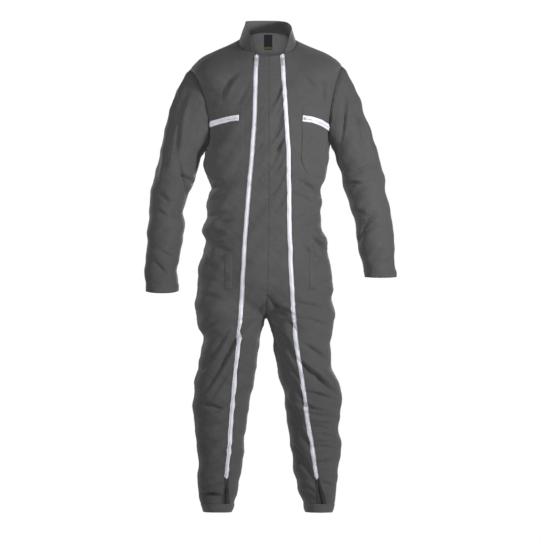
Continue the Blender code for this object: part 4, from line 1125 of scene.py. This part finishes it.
def chest_pocket(side, finish):
    """A patch with a rounded lower corner that runs out into the armhole and side seam."""
    low = np.array(POCKET_LOW[side], float)
    top = POCKET_TOP_Z[side]
    share = np.concatenate([[0, 0.012, 0.03], np.linspace(0.06, 1, 24)])
    down = np.concatenate([[0, 0.008, 0.02], np.linspace(0.035, 0.965, 50), [0.98, 0.992, 1]])
    down = down[:, None]
    inner = low[0, 0]
    line_x = inner + (POCKET_REACH - inner) * share
    bottom = np.where(share > 0, np.interp(line_x, low[:, 0], low[:, 1]), low[0, 1] - 20)
    z = top + (bottom - top) * down
    lean = smooth(POCKET_INNER, side, z) - inner
    x = line_x + lean * (1 - share) + (1 - share) ** 3 * 9 * rise(down, 0.86, 0.14) ** 2
    flat = np.stack([x, z], -1)
    edge_up = path_length(flat, 0)
    edge = np.minimum(np.minimum(path_length(flat, 1), 30), edge_up)
    edge = np.minimum(edge, edge_up[-1:] - edge_up)
    lift = 0.5 + 1.1 * rise(edge, 0, 2.2) - 0.5 * bell(edge, 6.5, 2)
    lift = lift + 1.2 * np.sin(rise(edge_up, 0, 250) * math.pi) * rise(edge, 0, 30)
    grid = on_front(side, x, z, lift - 3.2 * rise(share, 0.9, 0.1))
    sheet("chest_pocket", side, grid, finish)
    sew(grid, first=(3, 8), top=(3,), bottom=(3,))


def chest_zip(side, tape, plastic):
    """The slanted zip across a chest pocket, with its teeth."""
    line = np.array(CHEST_ZIP_LINE[side], float)
    x = np.tile(np.linspace(line[0, 0], line[-1, 0], 28), (TAPE_COLUMNS, 1))
    share = np.linspace(1, -1, TAPE_COLUMNS)[:, None]
    middle, half = (np.interp(x, line[:, 0], line[:, k]) for k in (1, 2))
    grid = on_front(side, x, middle + half * share, 3.4 - 0.6 * np.abs(share) ** 4 + 0 * x)
    sheet("zip_chest", side, grid, tape)
    where, normals = (values[TAPE_COLUMNS // 2, 3:] for values in grid)
    teeth("teeth_chest_" + side, (where + normals * 0.2, normals), plastic)
    sew(grid, top=(1.6,), bottom=(1.6,))


def hip_welt(side, finish):
    """The narrow patch of a slanted hip pocket."""
    inner, outer, top, bottom = HIP_LINE[side]
    across = np.linspace(0, 1, 9)
    x, z = np.meshgrid(np.linspace(inner, outer, 9), np.linspace(top, bottom, 30))
    grid = on_front(side, x, z, 0.4 + np.sin(across * math.pi) ** 0.5 + 0 * x)
    sheet("hip_welt", side, grid, finish)
    sew(grid, (2,), (2,), (2,), (2, 4))


def neck_label(finish, strip):
    """A bare satin strip hanging inside the back neck, with a woven bar across its lower end."""
    low, high = (np.array(corner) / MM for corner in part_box("neck_label"))
    rows, columns = 22, 14
    v = np.linspace(NECK_V, SHOULDER_TIP_V, 90)
    at = np.interp(-np.linspace(high[2], low[2], rows), -centre_z("back", v), v)
    x = np.linspace(low[0], high[0], columns)
    where = np.zeros((rows, columns, 3))
    for j, value in enumerate(x):
        side = "left" if value < 0 else "right"
        t = np.full((rows, 1), 0.02)
        for _ in range(25):
            found = np.abs(base_point(side, "back", at, t)[..., 0])
            t = np.clip(t * (abs(value) + 0.2) / np.maximum(found, 1e-6), 1e-5, 0.5)
        where[:, j] = cloth_point(side, "back", at, t)[:, 0]
    inward = grid_normals(where, 1)
    inward = inward * np.sign(-inward[rows // 2, columns // 2, 1])
    hang = np.linspace(0, 1, rows)[:, None]
    away = SHELL + 1.4 + 1.2 * hang ** 2 + 0.3 * np.sin(x / 5) * hang
    thing = sheet("neck_label", "", (where + inward * away[..., None], inward), finish)
    thing.data.materials.append(strip)
    for i in LABEL_BAR:
        for j in range(columns - 1):
            thing.data.polygons[i * (columns - 1) + j].material_index = 1


def hardware(finish):
    """Sliders and pull tabs keep their own solids, with rounded edges and painted metal."""
    for kind in ("slider_front_", "pull_front_", "slider_chest_", "pull_chest_"):
        for side in SIDES:
            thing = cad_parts[kind + side]
            thing.data.materials.clear()
            thing.data.materials.append(finish)
            bevel = thing.modifiers.new("round", "BEVEL")
            bevel.width = 0.0004
            bevel.segments = 2
            bevel.limit_method = "ANGLE"


# Softboxes: where, what they point at, size, power, and the spread of their light in degrees.
LIGHTS = {
    "key": ((2.2, -1.9, 0.0), (0, 0, -0.3), 0.45, 41, 115),
    "left": ((-2.3, -1.9, 0.0), (0, 0, -0.3), 0.7, 5.8, 70),
    "front": ((0.0, -3.6, -0.1), (0, 0, -0.25), 0.8, 8, 70),
    "back": ((1.1, 3.3, 0.1), (0, 0, -0.4), 0.7, 18, 75),
    "back_left": ((-2.0, 2.6, 0.3), (0, 0, -0.4), 0.7, 7, 75),
}
SKY_LIGHT = 0.13
# The camera looks level at the middle of the picture, which is this wide (m) at the suit.
CAMERA_AWAY = 18.0
PICTURE_WIDTH = 1.728
PICTURE_MIDDLE = (0.0064, -0.672)
SENSOR = 36.0
FLOOR_BELOW = 0.17
FLOOR_HALF = 1.5


def light(name, where, target, size, power, spread):
    """A round softbox with a grid that narrows its light."""
    data = bpy.data.lights.new(name, "AREA")
    data.shape, data.size, data.energy = "DISK", size, power
    data.spread = math.radians(spread)
    thing = add(name, data)
    thing.location = where
    thing.rotation_euler = (Vector(target) - Vector(where)).to_track_quat("-Z", "Y").to_euler()


def sky(scene):
    """White to look at, and much weaker as a light."""
    scene.world = bpy.data.worlds.new("studio")
    scene.world.use_nodes = True
    tree = scene.world.node_tree
    seen = node(tree, "LightPath", out="Is Camera Ray")
    strength = node(tree, "MapRange", seen, To_Min=SKY_LIGHT, To_Max=1.0)
    fill(tree.nodes["Background"], {"Color": (1, 1, 1, 1), "Strength": strength})


def studio():
    """Lights, a white sky, a plain pale floor and the photo's own view."""
    scene = bpy.context.scene
    sky(scene)
    scene.view_settings.view_transform = "Standard"
    for name, setting in LIGHTS.items():
        light(name, *setting)
    mesh = bpy.data.meshes.new("floor")
    low = BAND_END_V * MM - FLOOR_BELOW
    corners = ((-1, -1), (1, -1), (1, 1), (-1, 1))
    corners = [(x * FLOOR_HALF, y * FLOOR_HALF, low) for x, y in corners]
    mesh.from_pydata(corners, [], [(0, 1, 2, 3)])
    pale, _, surface = finish_of("pale_floor", Roughness=0.9, Specular_IOR_Level=0.0)
    fill(surface, {"Base Color": (0.8, 0.8, 0.8, 1), "Emission Color": (1, 1, 1, 1),
                   "Emission Strength": 0.04})
    mesh.materials.append(pale)
    add("floor", mesh)
    camera = add("camera", bpy.data.cameras.new("camera"))
    camera.data.sensor_width = SENSOR
    camera.data.lens = SENSOR * CAMERA_AWAY / PICTURE_WIDTH
    camera.location = (PICTURE_MIDDLE[0], -CAMERA_AWAY, PICTURE_MIDDLE[1])
    camera.rotation_euler = (math.pi / 2, 0, 0)
    scene.camera = camera


CLOTH = (0.050, 0.050, 0.051)


def dress():
    """Every piece of the suit, side by side, and the stitches last."""
    grey = twill("twill_charcoal", CLOTH)
    band = twill("twill_hem", scaled(CLOTH, 1.15))
    # The gusset: the cloth at half its brightness, painted shade in the recess below each zip.
    gusset_painted_shade = twill("twill_gusset", scaled(CLOTH, 0.5))
    # The inner faces of the back panels: a copy of the cloth 4.6 times brighter, painted light
    # where the inside shows through the neck.
    reverse = twill("twill_reverse", scaled(CLOTH, 4.6))
    # The inside of the collar: a copy of the cloth 1.5 times brighter, painted light.
    painted_light_lining = twill("twill_lining", scaled(CLOTH, 1.5))
    thread = hard_material("thread_charcoal", scaled(CLOTH, 0.72), 0.7)
    tape = tape_material("tape_white", (0.62, 0.63, 0.68))
    plastic = hard_material("teeth_white", (0.60, 0.61, 0.66), 0.4)
    paint = hard_material("paint_white", (0.36, 0.36, 0.39), 0.35)
    satin = tape_material("satin_black", (0.026, 0.028, 0.034), 0.0006)
    olive = tape_material("satin_olive", (0.20, 0.17, 0.03), 0.0006)
    necks = {}
    for side in SIDES:
        necks[side] = cloth_panels(side, grey, reverse)
        long_zip(side, tape, plastic, gusset_painted_shade)
        ankle_band(side, band)
        fine_sleeve(side, grey)
        chest_pocket(side, grey)
        chest_zip(side, tape, plastic)
        hip_welt(side, grey)
    collar(necks, grey, painted_light_lining)
    neck_label(satin, olive)
    hardware(paint)
    topstitching(thread)


dress()
studio()
